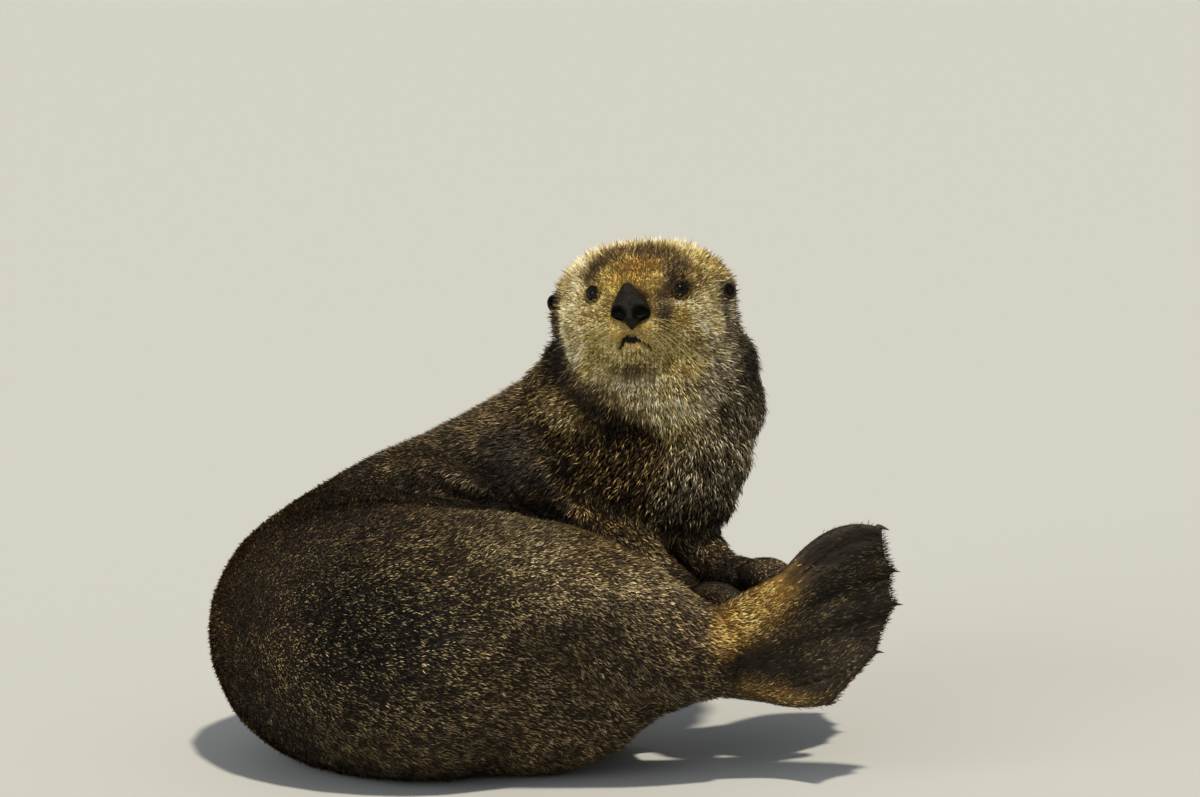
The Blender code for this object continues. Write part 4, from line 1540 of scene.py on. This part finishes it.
def unwrap(piece: Piece) -> None:
    """Lays the surface out flat as islands in a map named OFBake."""
    while piece.data.uv_layers:
        piece.data.uv_layers.remove(piece.data.uv_layers[0])
    piece.data.uv_layers.new(name="OFBake")
    bpy.context.view_layer.objects.active = piece
    piece.select_set(True)
    bpy.ops.object.mode_set(mode="EDIT")
    bpy.ops.mesh.select_all(action="SELECT")
    bpy.ops.uv.smart_project(angle_limit=math.radians(66), island_margin=0.002)
    bpy.ops.object.mode_set(mode="OBJECT")
    piece.select_set(False)


# ---------------------------------------------------------------- the coat

@dataclass(frozen=True)
class Cut:
    """How one part of the coat is grown.

    The label is its word in the names of its pieces, density is tufts to a square centimetre, lift
    is the angle from the skin in radians, and gather is how far the tips are drawn into locks.
    """

    label: str
    density: float
    width_mm: float
    lift: float
    gather: float
    lock_mm: float


class Part(Enum):
    """The parts of the coat, each grown in its own way."""

    BODY = Cut("body", 41.0, 0.9, 0.38, 0.2, 3.6)
    NECK = Cut("neck", 27.0, 1.15, 0.36, 0.5, 6.0)
    FACE = Cut("head", 76.0, 0.78, 0.36, 0.6, 4.2)
    LIMB = Cut("limb", 36.0, 1.05, 0.3, 0.3, 4.0)
    FOOT = Cut("foot", 36.0, 0.7, 0.12, 0.35, 4.5)
    PAW = Cut("paw", 70.0, 0.8, 0.25, 0.25, 3.0)

    @property
    def number(self) -> int:
        """Its place in the list of parts."""
        return list(Part).index(self)


@dataclass(frozen=True)
class Tuft:
    """The shape of a tuft, a thin closed spike of a few triangles.

    Spread is where each corner lies on the tuft's patch of the unwrap, height is how far it is from
    the root's tone to the tip's, and belly is how high the middle is lifted, in lengths.
    """

    kind: str
    faces: tuple
    spread: tuple
    height: tuple
    belly: float


# A lancet of four corners: root, two sides and tip.
SHORT_TUFT = Tuft("short", ((0, 3, 1), (0, 2, 3), (0, 1, 2), (3, 2, 1)),
                  ((0, -1), (-1, 0), (1, 0), (0, 1)), (0.05, 0.8, 0.8, 1.0), 0.04)
# One with a keel between its sides, over which it bends.
LONG_TUFT = Tuft("long", ((0, 3, 1), (0, 2, 3), (0, 1, 2), (4, 1, 3), (4, 3, 2), (4, 2, 1)),
                 ((0, -1), (-1, 0), (1, 0), (0, 0.2), (0, 1)), (0, 0.75, 0.75, 0.85, 1.0), 0.16)


@dataclass
class Roots:
    """Where the tufts grow, how, and their places on the unwrap."""

    place: Array
    normal: Array
    flow: Array
    length: Array
    tones: Array
    width: Array
    lift: Array
    gather: Array
    lock: Array
    uv: Array
    part: Array

    def taken(self, chosen: Array) -> "Roots":
        """The chosen roots only."""
        return Roots(**{key: value[chosen] for key, value in self.__dict__.items()})


@dataclass
class Coat:
    """Solid tufts over the whole skin that lie along the body.

    The ranges are factors drawn for each tuft. Strays are the few tufts that stand out of the coat,
    most of all on the head.
    """

    seed: int = 20
    long_from: float = 0.0123
    patch: float = 0.0015
    most: int = 190000
    root_depth: float = 0.0004
    middle_at: float = 0.55
    keel: float = 0.45
    strays: float = 0.12
    stray_range: Pair = (1.4, 2.2)
    head_stray: float = 1.45
    swing: float = 0.3
    lift_range: Pair = (0.55, 1.4)
    length_range: Pair = (0.7, 1.2)
    width_range: Pair = (0.75, 1.25)
    pull_range: Pair = (0.5, 1.2)
    brightness: Pair = (-0.12, 0.48)
    neck_from: float = 0.0105

    def parts_of(self, mapped: Mapped) -> Array:
        """Which part of the coat each vertex of the skin belongs to.

        Args:
            mapped: the skin's values.

        Returns:
            The parts' numbers.
        """
        x, _, z = mapped.points.T
        part = np.full(len(x), Part.BODY.number)
        part[mapped.length > self.neck_from] = Part.NECK.number
        part[(x > 0.1) & (z < 0.22)] = Part.LIMB.number
        part[mapped.headness > 0.45] = Part.FACE.number
        for foot in HIND_FEET:
            part[MARKINGS.on_foot(foot.to_foot(mapped.points)) > 0.6] = Part.FOOT.number
        for node in OtterSkin.paws:
            low, high = (np.array(corner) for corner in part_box(node))
            near = (mapped.points > low - 0.002) & (mapped.points < high + 0.002)
            part[np.all(near, axis=1)] = Part.PAW.number
        return part

    def thinning(self, mapped: Mapped, eyes: list["Eye"]) -> Array:
        """How thick the coat grows at each vertex, from 0 on nose, eyes and lips to 1."""
        share = ramp(0.8, 0.98, Nose().share_across(mapped.local))
        for eye in eyes:
            off, height = eye.off_axis(mapped.points)
            share *= np.maximum(ramp(eye.wide + 0.0006, eye.wide + 0.0018, off), height < 0)
        share *= ramp(0.0002, 0.0012, MARKINGS.mouth_line(mapped.local))
        return share * (1 - 0.8 * mapped.bare)

    def roots(self, skin: Piece, mapped: Mapped, eyes: list["Eye"]) -> Roots:
        """Spreads roots over the skin's triangles.

        Each triangle's expected number is its area times its part's density. The running sum of
        these is cut at whole numbers, so that roots are as even as random places inside triangles
        allow.

        Args:
            skin: the finished skin.
            mapped: its values.
            eyes: the eyes that the coat keeps clear of.

        Returns:
            All roots.
        """
        corners, loops, uv = triangles_of(skin.data)
        cuts = [part.value for part in Part]
        part = self.parts_of(mapped)
        density = np.array([cut.density for cut in cuts])[part] / CM2 * self.thinning(mapped, eyes)
        a, b, c = (mapped.points[corners[:, i]] for i in range(3))
        area = np.linalg.norm(np.cross(b - a, c - a), axis=1) / 2
        running = np.cumsum(area * density[corners].mean(axis=1))
        rng = np.random.default_rng(self.seed)
        chosen = np.searchsorted(running, np.arange(int(running[-1])) + rng.random())
        chosen = np.minimum(chosen, len(corners) - 1)
        first, second = rng.random(len(chosen)), rng.random(len(chosen))
        over = first + second > 1
        first[over], second[over] = 1 - first[over], 1 - second[over]
        share = np.stack([1 - first - second, first, second], axis=1)

        def read(values: Array) -> Array:
            """Blends a vertex value to the roots."""
            return np.einsum("ij,ij...->i...", share, values[corners[chosen]])

        sizes = np.array([(cut.width_mm, cut.lift, cut.gather, cut.lock_mm) for cut in cuts])
        width, lift, gather, lock = read(sizes[part]).T
        nearest = part[corners[chosen, share.argmax(axis=1)]]
        LOG.info("roots by part: %s", np.bincount(nearest, minlength=len(Part)).tolist())
        return Roots(read(mapped.points), unit(read(mapped.normals)), unit(read(mapped.flow)),
                     read(mapped.length), read(mapped.tones), width * MM, lift, gather, lock * MM,
                     np.einsum("ij,ijk->ik", share, uv[loops[chosen]]), nearest)

    def lines(self, roots: Roots, cells: Array, rng: np.random.Generator) -> tuple:
        """How each tuft lies.

        Its line leaves the skin at its lift and lies along the coat with a little random turn. Its
        tip is drawn towards the tip of its lock, whose place is hashed from the cell of space that
        the root is in.

        Args:
            roots: where the tufts grow.
            cells: the cell of each root's lock.
            rng: the random draws.

        Returns:
            Tips, sideways half widths, keel heights along the normal, and lengths.
        """
        count = len(roots.place)
        swing = rng.normal(0, self.swing, count)
        stray = rng.random(count) < self.strays
        on_head = roots.part == Part.FACE.number
        erect = rng.uniform(*self.stray_range, count) * np.where(on_head, self.head_stray, 1.0)
        lift = roots.lift * np.where(stray, erect, rng.uniform(*self.lift_range, count))
        length = roots.length * rng.uniform(*self.length_range, count)
        width = roots.width * rng.uniform(*self.width_range, count)
        side = unit(np.cross(roots.flow, roots.normal))
        ahead = roots.flow * np.cos(swing)[:, None] + side * np.sin(swing)[:, None]
        side = unit(np.cross(ahead, roots.normal))
        line = ahead * np.cos(lift)[:, None] + roots.normal * np.sin(lift)[:, None]
        drawn = np.stack([cell_hash(cells, k) for k in (1, 2, 3)], axis=1)
        centre = (cells - LOCK_SHIFT + 0.2 + 0.6 * drawn) * roots.lock[:, None]
        pull = centre - roots.place
        pull -= roots.normal * (pull * roots.normal).sum(axis=1, keepdims=True)
        gather = roots.gather * rng.uniform(*self.pull_range, count)
        tip = roots.place + line * length[:, None] + pull * gather[:, None]
        return tip, side * (width / 2)[:, None], roots.normal * (width * self.keel)[:, None], length

    def spikes(self, name: str, roots: Roots, tuft: Tuft, seed: int) -> Piece:
        """One piece of tufts.

        Args:
            name: the piece's name.
            roots: where the tufts grow.
            tuft: their shape.
            seed: a whole number for the random draws.

        Returns:
            The piece.
        """
        rng = np.random.default_rng(seed)
        cells = np.floor(roots.place / roots.lock[:, None] + LOCK_SHIFT).astype(np.int64)
        tip, half, keel, length = self.lines(roots, cells, rng)
        base = roots.place - roots.normal * self.root_depth
        middle = base + (tip - base) * self.middle_at
        middle += roots.normal * (tuft.belly * length)[:, None]
        if tuft is LONG_TUFT:
            ring = [middle - half, middle + half, middle + keel]
        else:
            ring = [middle - half - keel, middle + half - keel]
        points = np.stack([base, *ring, tip], axis=1)
        points[..., 2] = np.maximum(points[..., 2], FLOOR_GAP)
        count, corners = points.shape[:2]
        faces = np.arange(count)[:, None, None] * corners + np.array(tuft.faces)
        faces = faces.reshape(-1, 3)
        piece = new_piece(name, points.reshape(-1, 3), faces, smooth=tuft is LONG_TUFT)

        under, tips = self.hues(roots, cells, rng)
        along = np.array(tuft.height)[None, :, None]
        shade = under[:, None, :] + (tips - under)[:, None, :] * along
        set_colours(piece.data, "marking", shade.reshape(-1, 3))
        patch = np.clip(roots.uv, 0.002, 0.998)[:, None, :] + np.array(tuft.spread) * self.patch
        layer = piece.data.uv_layers.new(name="OFBake")
        uv = patch.reshape(-1, 2)[faces.ravel()]
        layer.data.foreach_set("uv", uv.astype(np.float32).ravel())
        return piece

    def hues(self, roots: Roots, cells: Array, rng: np.random.Generator) -> tuple[Array, Array]:
        """Colours for each tuft, plain or pale-tipped, with its lock's brightness.

        Args:
            roots: where the tufts grow.
            cells: the cell of each root's lock.
            rng: the random draws.

        Returns:
            Root colours and tip colours.
        """
        count = len(roots.place)
        lock = 0.7 + 0.6 * cell_hash(cells, 9)
        patch = 0.5 + 0.5 * noise(roots.place, 0.013, 31)
        share = roots.tones[:, 9] * lock * (0.45 + 1.1 * patch)
        pale = ramp(0.0, 0.3, share - rng.random(count) + 0.15)[:, None]
        tips = roots.tones[:, 3:6] * (1 - pale) + roots.tones[:, 6:9] * pale
        bright = np.exp(rng.normal(*self.brightness, count)).clip(0.25, 2.4)
        tips = np.minimum(tips * (bright * lock * (0.78 + 0.44 * patch))[:, None], 0.95)
        under = roots.tones[:, 0:3] * rng.uniform(0.7, 1.3, count)[:, None]
        return under, tips

    def build(self, skin: Piece, mapped: Mapped, eyes: list["Eye"]) -> None:
        """Grows the whole coat in pieces below the limit of triangles.

        Args:
            skin: the finished skin.
            mapped: its values.
            eyes: the eyes.
        """
        material = FurFinish().material()
        roots = self.roots(skin, mapped, eyes)
        long = roots.length > self.long_from
        total = 0
        for part in Part:
            for tuft in (SHORT_TUFT, LONG_TUFT):
                where = np.flatnonzero((roots.part == part.number) & (long == (tuft is LONG_TUFT)))
                if not len(where):
                    continue
                where = where[np.argsort(roots.place[where, 0], kind="stable")]
                each = len(tuft.faces)
                pieces = math.ceil(len(where) * each / self.most)
                for k, chunk in enumerate(np.array_split(where, pieces)):
                    name = f"coat_{part.value.label}_{tuft.kind}_{k + 1}"
                    seed = self.seed + 100 * part.number + k
                    piece = self.spikes(name, roots.taken(chunk), tuft, seed)
                    dress(piece, material, "pale_fur" if part is Part.FACE else "short_fur")
                    total += len(chunk) * each
        LOG.info("coat: %d triangles", total)


# ---------------------------------------------------------------- the face

@dataclass
class Eye:
    """An eyeball set in the head behind two lids that leave an almond of it to be seen."""

    side: int
    name: str
    wide: float = 0.006
    high: float = 0.0066
    lid: float = 0.0008
    lid_gap: float = 0.0002
    cornea: float = 0.0004
    clear: float = 0.0003
    dip: float = 0.003
    close: float = 0.0078
    hug: float = 0.0135
    columns: int = 48
    rows: int = 24
    section: int = 12

    def __post_init__(self) -> None:
        """Reads the eyeball's place and size from its node, and sets where it looks by the head's
        axes.
        """
        low, high = (np.array(corner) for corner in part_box(self.name))
        self.centre = (low + high) / 2
        self.radius = float((high - low).mean() / 2)
        self.gaze = unit(HEAD.turn @ np.array((self.side * 0.5, 0.86, 0.1)))
        across = HEAD.turn @ np.array((1.0, 0.0, 0.0))
        self.across = unit(across - self.gaze * (across @ self.gaze))
        self.up = np.cross(self.across, self.gaze)
        self.up *= np.sign(self.up @ HEAD.turn[:, 2])

    def off_axis(self, points: Array) -> tuple[Array, Array]:
        """Each point's distance from the line of the gaze, and its height along it."""
        away = points - self.centre
        height = away @ self.gaze
        return np.linalg.norm(away - height[:, None] * self.gaze, axis=1), height

    def seat(self, points: Array) -> Array:
        """Closes the skin round the ball: it meets the ball at the lids and dips behind them.

        Args:
            points: the skin's vertices.

        Returns:
            The vertices, moved along the gaze.
        """
        off, height = self.off_axis(points)
        ball = np.sqrt(np.maximum((self.radius + self.clear) ** 2 - off ** 2, 0.0))
        near = ramp(self.hug, self.close, off) * (height > 0)
        dip = self.dip * ramp(self.wide + 0.0004, self.wide - 0.0018, off)
        wanted = height + (ball - height) * near - dip * (height > 0)
        return points + ((wanted - height)[:, None] * self.gaze)

    def ball(self) -> Piece:
        """The eyeball: a sphere in polar rings about the gaze, with a low corneal bulge."""
        tilt, turn = polar_grid(self.rows, self.columns)
        bulge = self.radius + self.cornea * np.exp(-(tilt / 0.5) ** 2)
        points = self.along(tilt, turn) * bulge[..., None] + self.centre
        first = self.centre + self.gaze * (self.radius + self.cornea)
        last = self.centre - self.gaze * self.radius
        piece = ringed_piece(self.name + "_ball", points, first, last)
        away = unit(points_of(piece.data) - self.centre) @ self.gaze
        angle = np.arccos(np.clip(away, -1, 1))
        set_values(piece.data, "iris", ramp(0.2, 0.28, angle) * ramp(0.78, 0.62, angle))
        return piece

    def along(self, tilt: Array, turn: Array) -> Array:
        """Unit vectors at an angle from the gaze, turned about it from across to up."""
        ring = np.cos(turn)[..., None] * self.across + np.sin(turn)[..., None] * self.up
        return np.cos(tilt)[..., None] * self.gaze + np.sin(tilt)[..., None] * ring

    def lids(self) -> Piece:
        """The rims of the lids: a closed tube on the ball round the almond, thicker above."""
        turn = full_turn(self.columns)
        rise = np.sin(turn)
        reach = np.hypot(np.cos(turn) * self.wide, rise * self.high) / self.radius
        heading = np.arctan2(rise * self.high, np.cos(turn) * self.wide)
        middle = self.along(np.arcsin(np.minimum(reach, 0.98)), heading)
        thick = self.lid * (1.0 + 0.5 * np.maximum(rise, 0))
        outward = unit(middle - self.gaze * (middle @ self.gaze)[:, None])
        along_ball = unit(outward - middle * (outward * middle).sum(axis=1, keepdims=True))
        path = self.centre + middle * (self.radius + self.lid_gap)
        points = rings_along(path, middle[:, None], along_ball[:, None], thick[:, None],
                             self.section)
        rows, columns = points.shape[:2]
        number = np.arange(rows * columns).reshape(rows, columns)
        right, below = np.roll(number, -1, axis=1), np.roll(number, -1, axis=0)
        faces = np.stack([number, right, np.roll(below, -1, axis=1), below], axis=-1).reshape(-1, 4)
        piece = new_piece(self.name + "_lids", points.reshape(-1, 3), faces.tolist())
        face_out(piece)
        return piece

    def build(self, eye: Material, lid: Material) -> None:
        """Makes and dresses the ball and the lids."""
        dress(self.ball(), eye, "eye", self.name)
        dress(self.lids(), lid, "bare_skin")


@dataclass(frozen=True)
class Nose:
    """The nose pad: a blunt triangle with a nostril in each wing and a column down to the lip.

    The outline gives the half width at each height above the middle, in millimetres. A nostril and
    the swelling over it have their middle and half sizes, in metres.
    """

    heights: tuple = (22.5, 21.0, 18.5, 12.0, 4.5, -2.0, -7.0, -10.5, -12.5, -14.5, -17.0, -20.0,
                      -22.5)
    widths: tuple = (2.6, 5.0, 6.8, 11.0, 15.8, 18.6, 19.3, 17.8, 11.5, 7.2, 5.4, 3.2, 0.9)
    depth: float = 0.0115
    power: float = 2.4
    nostril: tuple = (0.0112, -0.0085, 0.0078, 0.0062)
    nostril_depth: float = 0.009
    wing: tuple = (0.0125, 0.0012, 0.008, 0.0026)
    wing_swell: float = 0.0016
    rows: int = 90
    columns: int = 96
    skew: float = 0.1
    drop: float = 0.0026

    def share_across(self, local: Array) -> Array:
        """How far across the pad's half width each head point is, 1 at its outline."""
        away = local - np.array(HEAD.nose)
        height = away[:, 2] + self.drop
        width = np.interp(height / MM, self.heights[::-1], self.widths[::-1], left=0.1, right=0.1)
        across = np.abs(away[:, 0] - self.skew * (height + 0.015)) / (width * MM)
        return np.where(local[:, 1] > 0.04, across, 9.0)

    def build(self, material: Material) -> None:
        """Rings of rounded outline from top to bottom, then nostrils and column pressed in.

        A ring at height z has half width w(z) and half depth d, and the super-ellipse's power
        flattens its front. Nostrils are deep soft spots under swollen wings, painted dark as shade
        inside, and the column is a ridge with a shallow groove down its middle.

        Args:
            material: its finish.
        """
        height = np.linspace(self.heights[0], self.heights[-1], self.rows)
        width = np.interp(height, self.heights[::-1], self.widths[::-1])
        width = np.convolve(np.pad(width, 3, mode="edge"), np.ones(7) / 7, mode="valid") * MM
        height = height * MM
        turn = full_turn(self.columns)
        across, y = (np.sign(wave) * np.abs(wave) ** (2 / self.power)
                     for wave in (np.cos(turn), np.sin(turn)))
        slim = np.minimum(1, width / 0.01) ** 0.5
        lean = 0.0035 * (height / 0.022) - 0.0025 * (height / 0.022) ** 2
        points = np.stack([width[:, None] * across, self.depth * slim[:, None] * y - lean[:, None],
                           np.broadcast_to(height[:, None], (self.rows, self.columns))], axis=-1)
        front = ramp(0.0, 0.5, np.broadcast_to(y, points.shape[:2]))
        px, pz = points[..., 0].copy(), points[..., 2].copy()
        hollow = np.zeros_like(px)
        for side in (-1, 1):
            away = [((px - side * x) / wide) ** 2 + ((pz - z) / high) ** 2
                    for x, z, wide, high in (self.nostril, self.wing)]
            hole, wing = np.exp(-away[0] ** 2.2), np.exp(-away[1])
            points[..., 1] += front * (self.wing_swell * wing - self.nostril_depth * hole)
            # Painted shade inside the nostrils, wider than the holes so that their rims are dark too.
            hollow = np.maximum(hollow, np.minimum(1, 1.3 * hole ** 0.45))
        groove = np.exp(-(px / 0.0011) ** 2) * ramp(0.006, -0.004, pz)
        column = np.exp(-(px / 0.0048) ** 4) * ramp(0.0, -0.006, pz)
        points[..., 1] += front * (0.0016 * column - 0.0013 * groove)
        points[..., 0] += self.skew * (pz + 0.015)
        points[..., 2] -= self.drop
        centre = np.array(HEAD.nose)
        first = HEAD.to_world(centre + (0.00375, -lean[0], height[0] - 0.002))
        last = HEAD.to_world(centre + (-0.00075, -lean[-1], height[-1] - 0.0032))
        piece = ringed_piece("nose_pad", HEAD.to_world(points + centre), first, last)
        set_values(piece.data, "shade", np.concatenate([[0.0], hollow.ravel(), [0.0]]))
        dress(piece, material, "bare_skin", "nose")


@dataclass(frozen=True)
class Ear:
    """A small thick ear with a rolled rim round a deep dish."""

    side: int
    node: str
    shift: Point
    half: Point = (0.0062, 0.0075, 0.0084)
    dish: float = 0.35
    rows: int = 40
    columns: int = 48

    def build(self, material: Material) -> None:
        """A ball in polar rings about the front, whose front is pressed in behind a rim.

        Args:
            material: its finish.
        """
        low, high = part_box(self.node)
        centre = HEAD.to_head(np.array((low + high) / 2)) + np.array(self.shift)
        tilt, turn = polar_grid(self.rows, self.columns)
        x, y, z = np.sin(tilt) * np.cos(turn), np.cos(tilt), np.sin(tilt) * np.sin(turn)
        reach = np.hypot(x, z)
        dish = ramp(0.86, 0.35, reach) * (y > 0)
        y = y * (1 - dish) - self.dish * dish
        points = np.stack([x, y, z], axis=-1) * np.array(self.half)
        points[..., 1] -= 0.002 * ramp(0.4, -0.6, points[..., 2] / self.half[2])
        poles = np.array([(0, -self.dish * self.half[1], 0), (0, -self.half[1], 0)])
        first, last = HEAD.to_world(poles + centre)
        cup = ringed_piece(self.node + "_cup", HEAD.to_world(points + centre), first, last)
        dress(cup, material, "bare_skin", self.node)


@dataclass(frozen=True)
class Whiskers:
    """Stiff pale whiskers in rows on both whisker pads, arching out and drooping at the tips."""

    rows: int = 3
    in_row: int = 3
    first: Pair = (0.014, -0.025)
    spacing: Pair = (0.0042, -0.0058)
    row_slope: float = -0.0008
    radius: float = 0.00021
    sides: int = 6
    steps: int = 12

    def build(self, material: Material, reach: Array) -> None:
        """Tapered tubes along parabolas: out along the whisker, down with the square of its length.

        Args:
            material: their finish.
            reach: the skin's vertices in head coordinates, to root the whiskers on.
        """
        rng = np.random.default_rng(5)
        tubes = []
        for side in (-1, 1):
            for i in range(self.rows):
                for j in range(self.in_row):
                    x = side * (self.first[0] + self.spacing[0] * j)
                    z = self.first[1] + self.spacing[1] * i + self.row_slope * j
                    near = np.hypot(reach[:, 0] - x, reach[:, 2] - z)
                    front = reach[(near < 0.004) & (reach[:, 1] > 0.03)]
                    root = np.array((x, front[:, 1].mean() - 0.001, z))
                    out = (side * (0.75 + 0.12 * j), 0.55 - 0.13 * j, -0.22 - 0.13 * i)
                    out = unit(unit(np.array(out)) + rng.normal(0, 0.07, 3))
                    length = 0.036 + 0.0075 * j + rng.uniform(0, 0.014)
                    tubes.append(self.tube(root, out, length, 0.01 + 0.006 * i))
        piece = joined("whiskers", tubes)
        dress(piece, material, "pale_fur")

    def tube(self, root: Array, out: Array, length: float, droop: float) -> Piece:
        """One whisker as a closed tapering tube, in head coordinates turned to the world."""
        t = np.linspace(0, 0.98, self.steps)[:, None]
        fall = np.array((0, -0.3, -1.0)) * droop
        path = root + out * length * t + fall * t ** 2
        side = unit(np.cross(out, (0.0, 0.0, 1.0)))
        radii = self.radius * (1 - 0.85 * t ** 1.2)
        rings = rings_along(path, side, np.cross(side, out), radii, self.sides)
        first, last = HEAD.to_world(np.array([root - out * 0.0002, root + out * length + fall]))
        return ringed_piece("whisker", HEAD.to_world(rings), first, last)


@dataclass(frozen=True)
class Claws:
    """Curved horn claws on all twenty toes, each laid along its own node."""

    rings: int = 16
    sides: int = 14
    end_share: float = 0.18
    heart_share: float = 0.16
    stoutness: float = 0.62
    flatness: float = 0.8

    def nodes(self) -> list[str]:
        """The claw nodes' names."""
        return [f"{side}_{end}_claw_{toe}" for side in ("right", "left") for end in ("hind", "fore")
                for toe in range(1, 6)]

    def claw(self, node: str) -> Piece:
        """A horn from root to tip.

        The node's points are measured along their longest direction. The wider end is the root, and
        the line is the parabola through the means of the root, the middle and the tip.

        Args:
            node: the claw's node.

        Returns:
            The claw.
        """
        points = np.array([vert.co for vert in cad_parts[node].data.vertices])
        middle = (points.min(axis=0) + points.max(axis=0)) / 2
        axis = np.linalg.svd(points - points.mean(axis=0), full_matrices=False)[2][0]
        along = (points - middle) @ axis
        low, high = along.min(), along.max()
        edge = self.end_share * (high - low)
        ends = [points[along < low + edge], points[along > high - edge]]
        spreads = [np.linalg.norm(end - end.mean(axis=0), axis=1).mean() for end in ends]
        if spreads[0] < spreads[1]:
            axis, along, ends = -axis, -along, ends[::-1]
            low, high = along.min(), along.max()
        root = ends[0].mean(axis=0)
        tip = points[along.argmax()]
        centred = np.abs(along - (low + high) / 2) < self.heart_share * (high - low)
        heart = points[centred].mean(axis=0)
        root = root - axis * ((root - middle) @ axis - low)
        bend = 2 * heart - (root + tip) / 2
        reach = np.linalg.norm(ends[0] - ends[0].mean(axis=0), axis=1).max()
        radius = self.stoutness * reach
        t = np.linspace(0, 0.985, self.rings)[:, None]
        path = root * (1 - t) ** 2 + 2 * bend * t * (1 - t) + tip * t ** 2
        ahead = unit(tip - root)
        droop = unit(bend - (root + tip) / 2 + 1e-9)
        up = unit(droop - ahead * (droop @ ahead))
        side = np.cross(ahead, up)
        body = rings_along(path, self.flatness * side, up, radius * (1 - t ** 1.7), self.sides)
        return ringed_piece(node + "_horn", body, root - ahead * 0.0004, tip)

    def build(self, material: Material) -> None:
        """Makes and dresses all claws, as one piece for each end of each side."""
        names = self.nodes()
        for start in range(0, len(names), 5):
            group = names[start:start + 5]
            piece = joined(group[0][:-2] + "s", [self.claw(node) for node in group])
            dress(piece, material, "claw", *group)


# ---------------------------------------------------------------- studio

@dataclass(frozen=True)
class Studio:
    """Pale floor, low-contrast daylight from above and in front, and the camera.

    Each lamp has its name, the direction it comes from, its strength, its angular size in degrees
    and its colour.
    """

    target: Point = (0.0457, -0.0537, 0.3572)
    distance: float = 6.0
    elevation: float = math.radians(10)
    frame_width: float = 1.14
    sensor_mm: float = 36.0
    floor_half: float = 40.0
    sky_colour: str = "#e3e3df"
    sky_strength: float = 0.45
    lamps: tuple = (("sun", (0.16, -0.38, 1.0), 3.6, 4.0, "#fff0d6"),
                    ("sky_fill", (-0.8, -0.66, 0.45), 1.15, 40.0, "#f3f1ee"))

    def camera(self) -> None:
        """A long lens, a little above the animal, square to its face."""
        back = Vector((0, -math.cos(self.elevation), math.sin(self.elevation)))
        data = bpy.data.cameras.new("camera")
        data.sensor_width = self.sensor_mm
        data.lens = self.sensor_mm * self.distance / self.frame_width
        camera = in_scene("camera", data)
        camera.location = Vector(self.target) + back * self.distance
        camera.rotation_mode = "QUATERNION"
        camera.rotation_quaternion = (-back).to_track_quat("-Z", "Y")
        bpy.context.scene.camera = camera

    def lamp(self, name: str, towards: tuple, energy: float, size: float, colour: str) -> None:
        """A distant soft light.

        Args:
            name: the light's name.
            towards: where it comes from, as a direction.
            energy: its strength.
            size: its angular size in degrees.
            colour: an sRGB hex colour.
        """
        data = bpy.data.lights.new(name, "SUN")
        data.energy = energy
        data.angle = math.radians(size)
        data.color = linear(colour)
        lamp = in_scene(name, data)
        lamp.rotation_mode = "QUATERNION"
        lamp.rotation_quaternion = Vector(towards).to_track_quat("Z", "Y")

    def floor(self) -> None:
        """A wide flat floor."""
        square = ((-1, -1, 0), (1, -1, 0), (1, 1, 0), (-1, 1, 0))
        corners = self.floor_half * np.array(square)
        floor = new_piece("floor", corners, [[0, 1, 2, 3]])
        floor.data.materials.append(FloorFinish().material())

    def build(self) -> None:
        """Sets up the view, the lights and the floor."""
        scene = bpy.context.scene
        scene.view_settings.view_transform = "Standard"
        self.camera()
        for lamp in self.lamps:
            self.lamp(*lamp)
        world = bpy.data.worlds.new("sky")
        world.use_nodes = True
        background = world.node_tree.nodes["Background"]
        background.inputs["Color"].default_value = (*linear(self.sky_colour), 1.0)
        background.inputs["Strength"].default_value = self.sky_strength
        scene.world = world
        self.floor()


# ---------------------------------------------------------------- all together

def main() -> None:
    """Builds the studio, then the otter from the skin out."""
    logging.basicConfig(level=logging.INFO, format="%(name)s: %(message)s")
    Studio().build()
    eyes = [Eye(1, "right_eye"), Eye(-1, "left_eye")]
    body = OtterSkin()
    skin = body.build(eyes)
    mapped = Mapped(skin.data)
    body.finish(skin, mapped, HideFinish().material())
    eye_material, lid_material = EyeFinish().material(), LID_SKIN.material()
    for eye in eyes:
        eye.build(eye_material, lid_material)
    Nose().build(NOSE_LEATHER.material())
    ear_material = EAR_SKIN.material()
    Ear(1, "right_ear", (0.0055, 0.0, -0.003)).build(ear_material)
    Ear(-1, "left_ear", (0.0052, 0.0, 0.0)).build(ear_material)
    Whiskers().build(WHISKER_HAIR.material(), mapped.local)
    Claws().build(CLAW_HORN.material())
    Coat().build(skin, mapped, eyes)


if __name__ == "__main__":
    main()
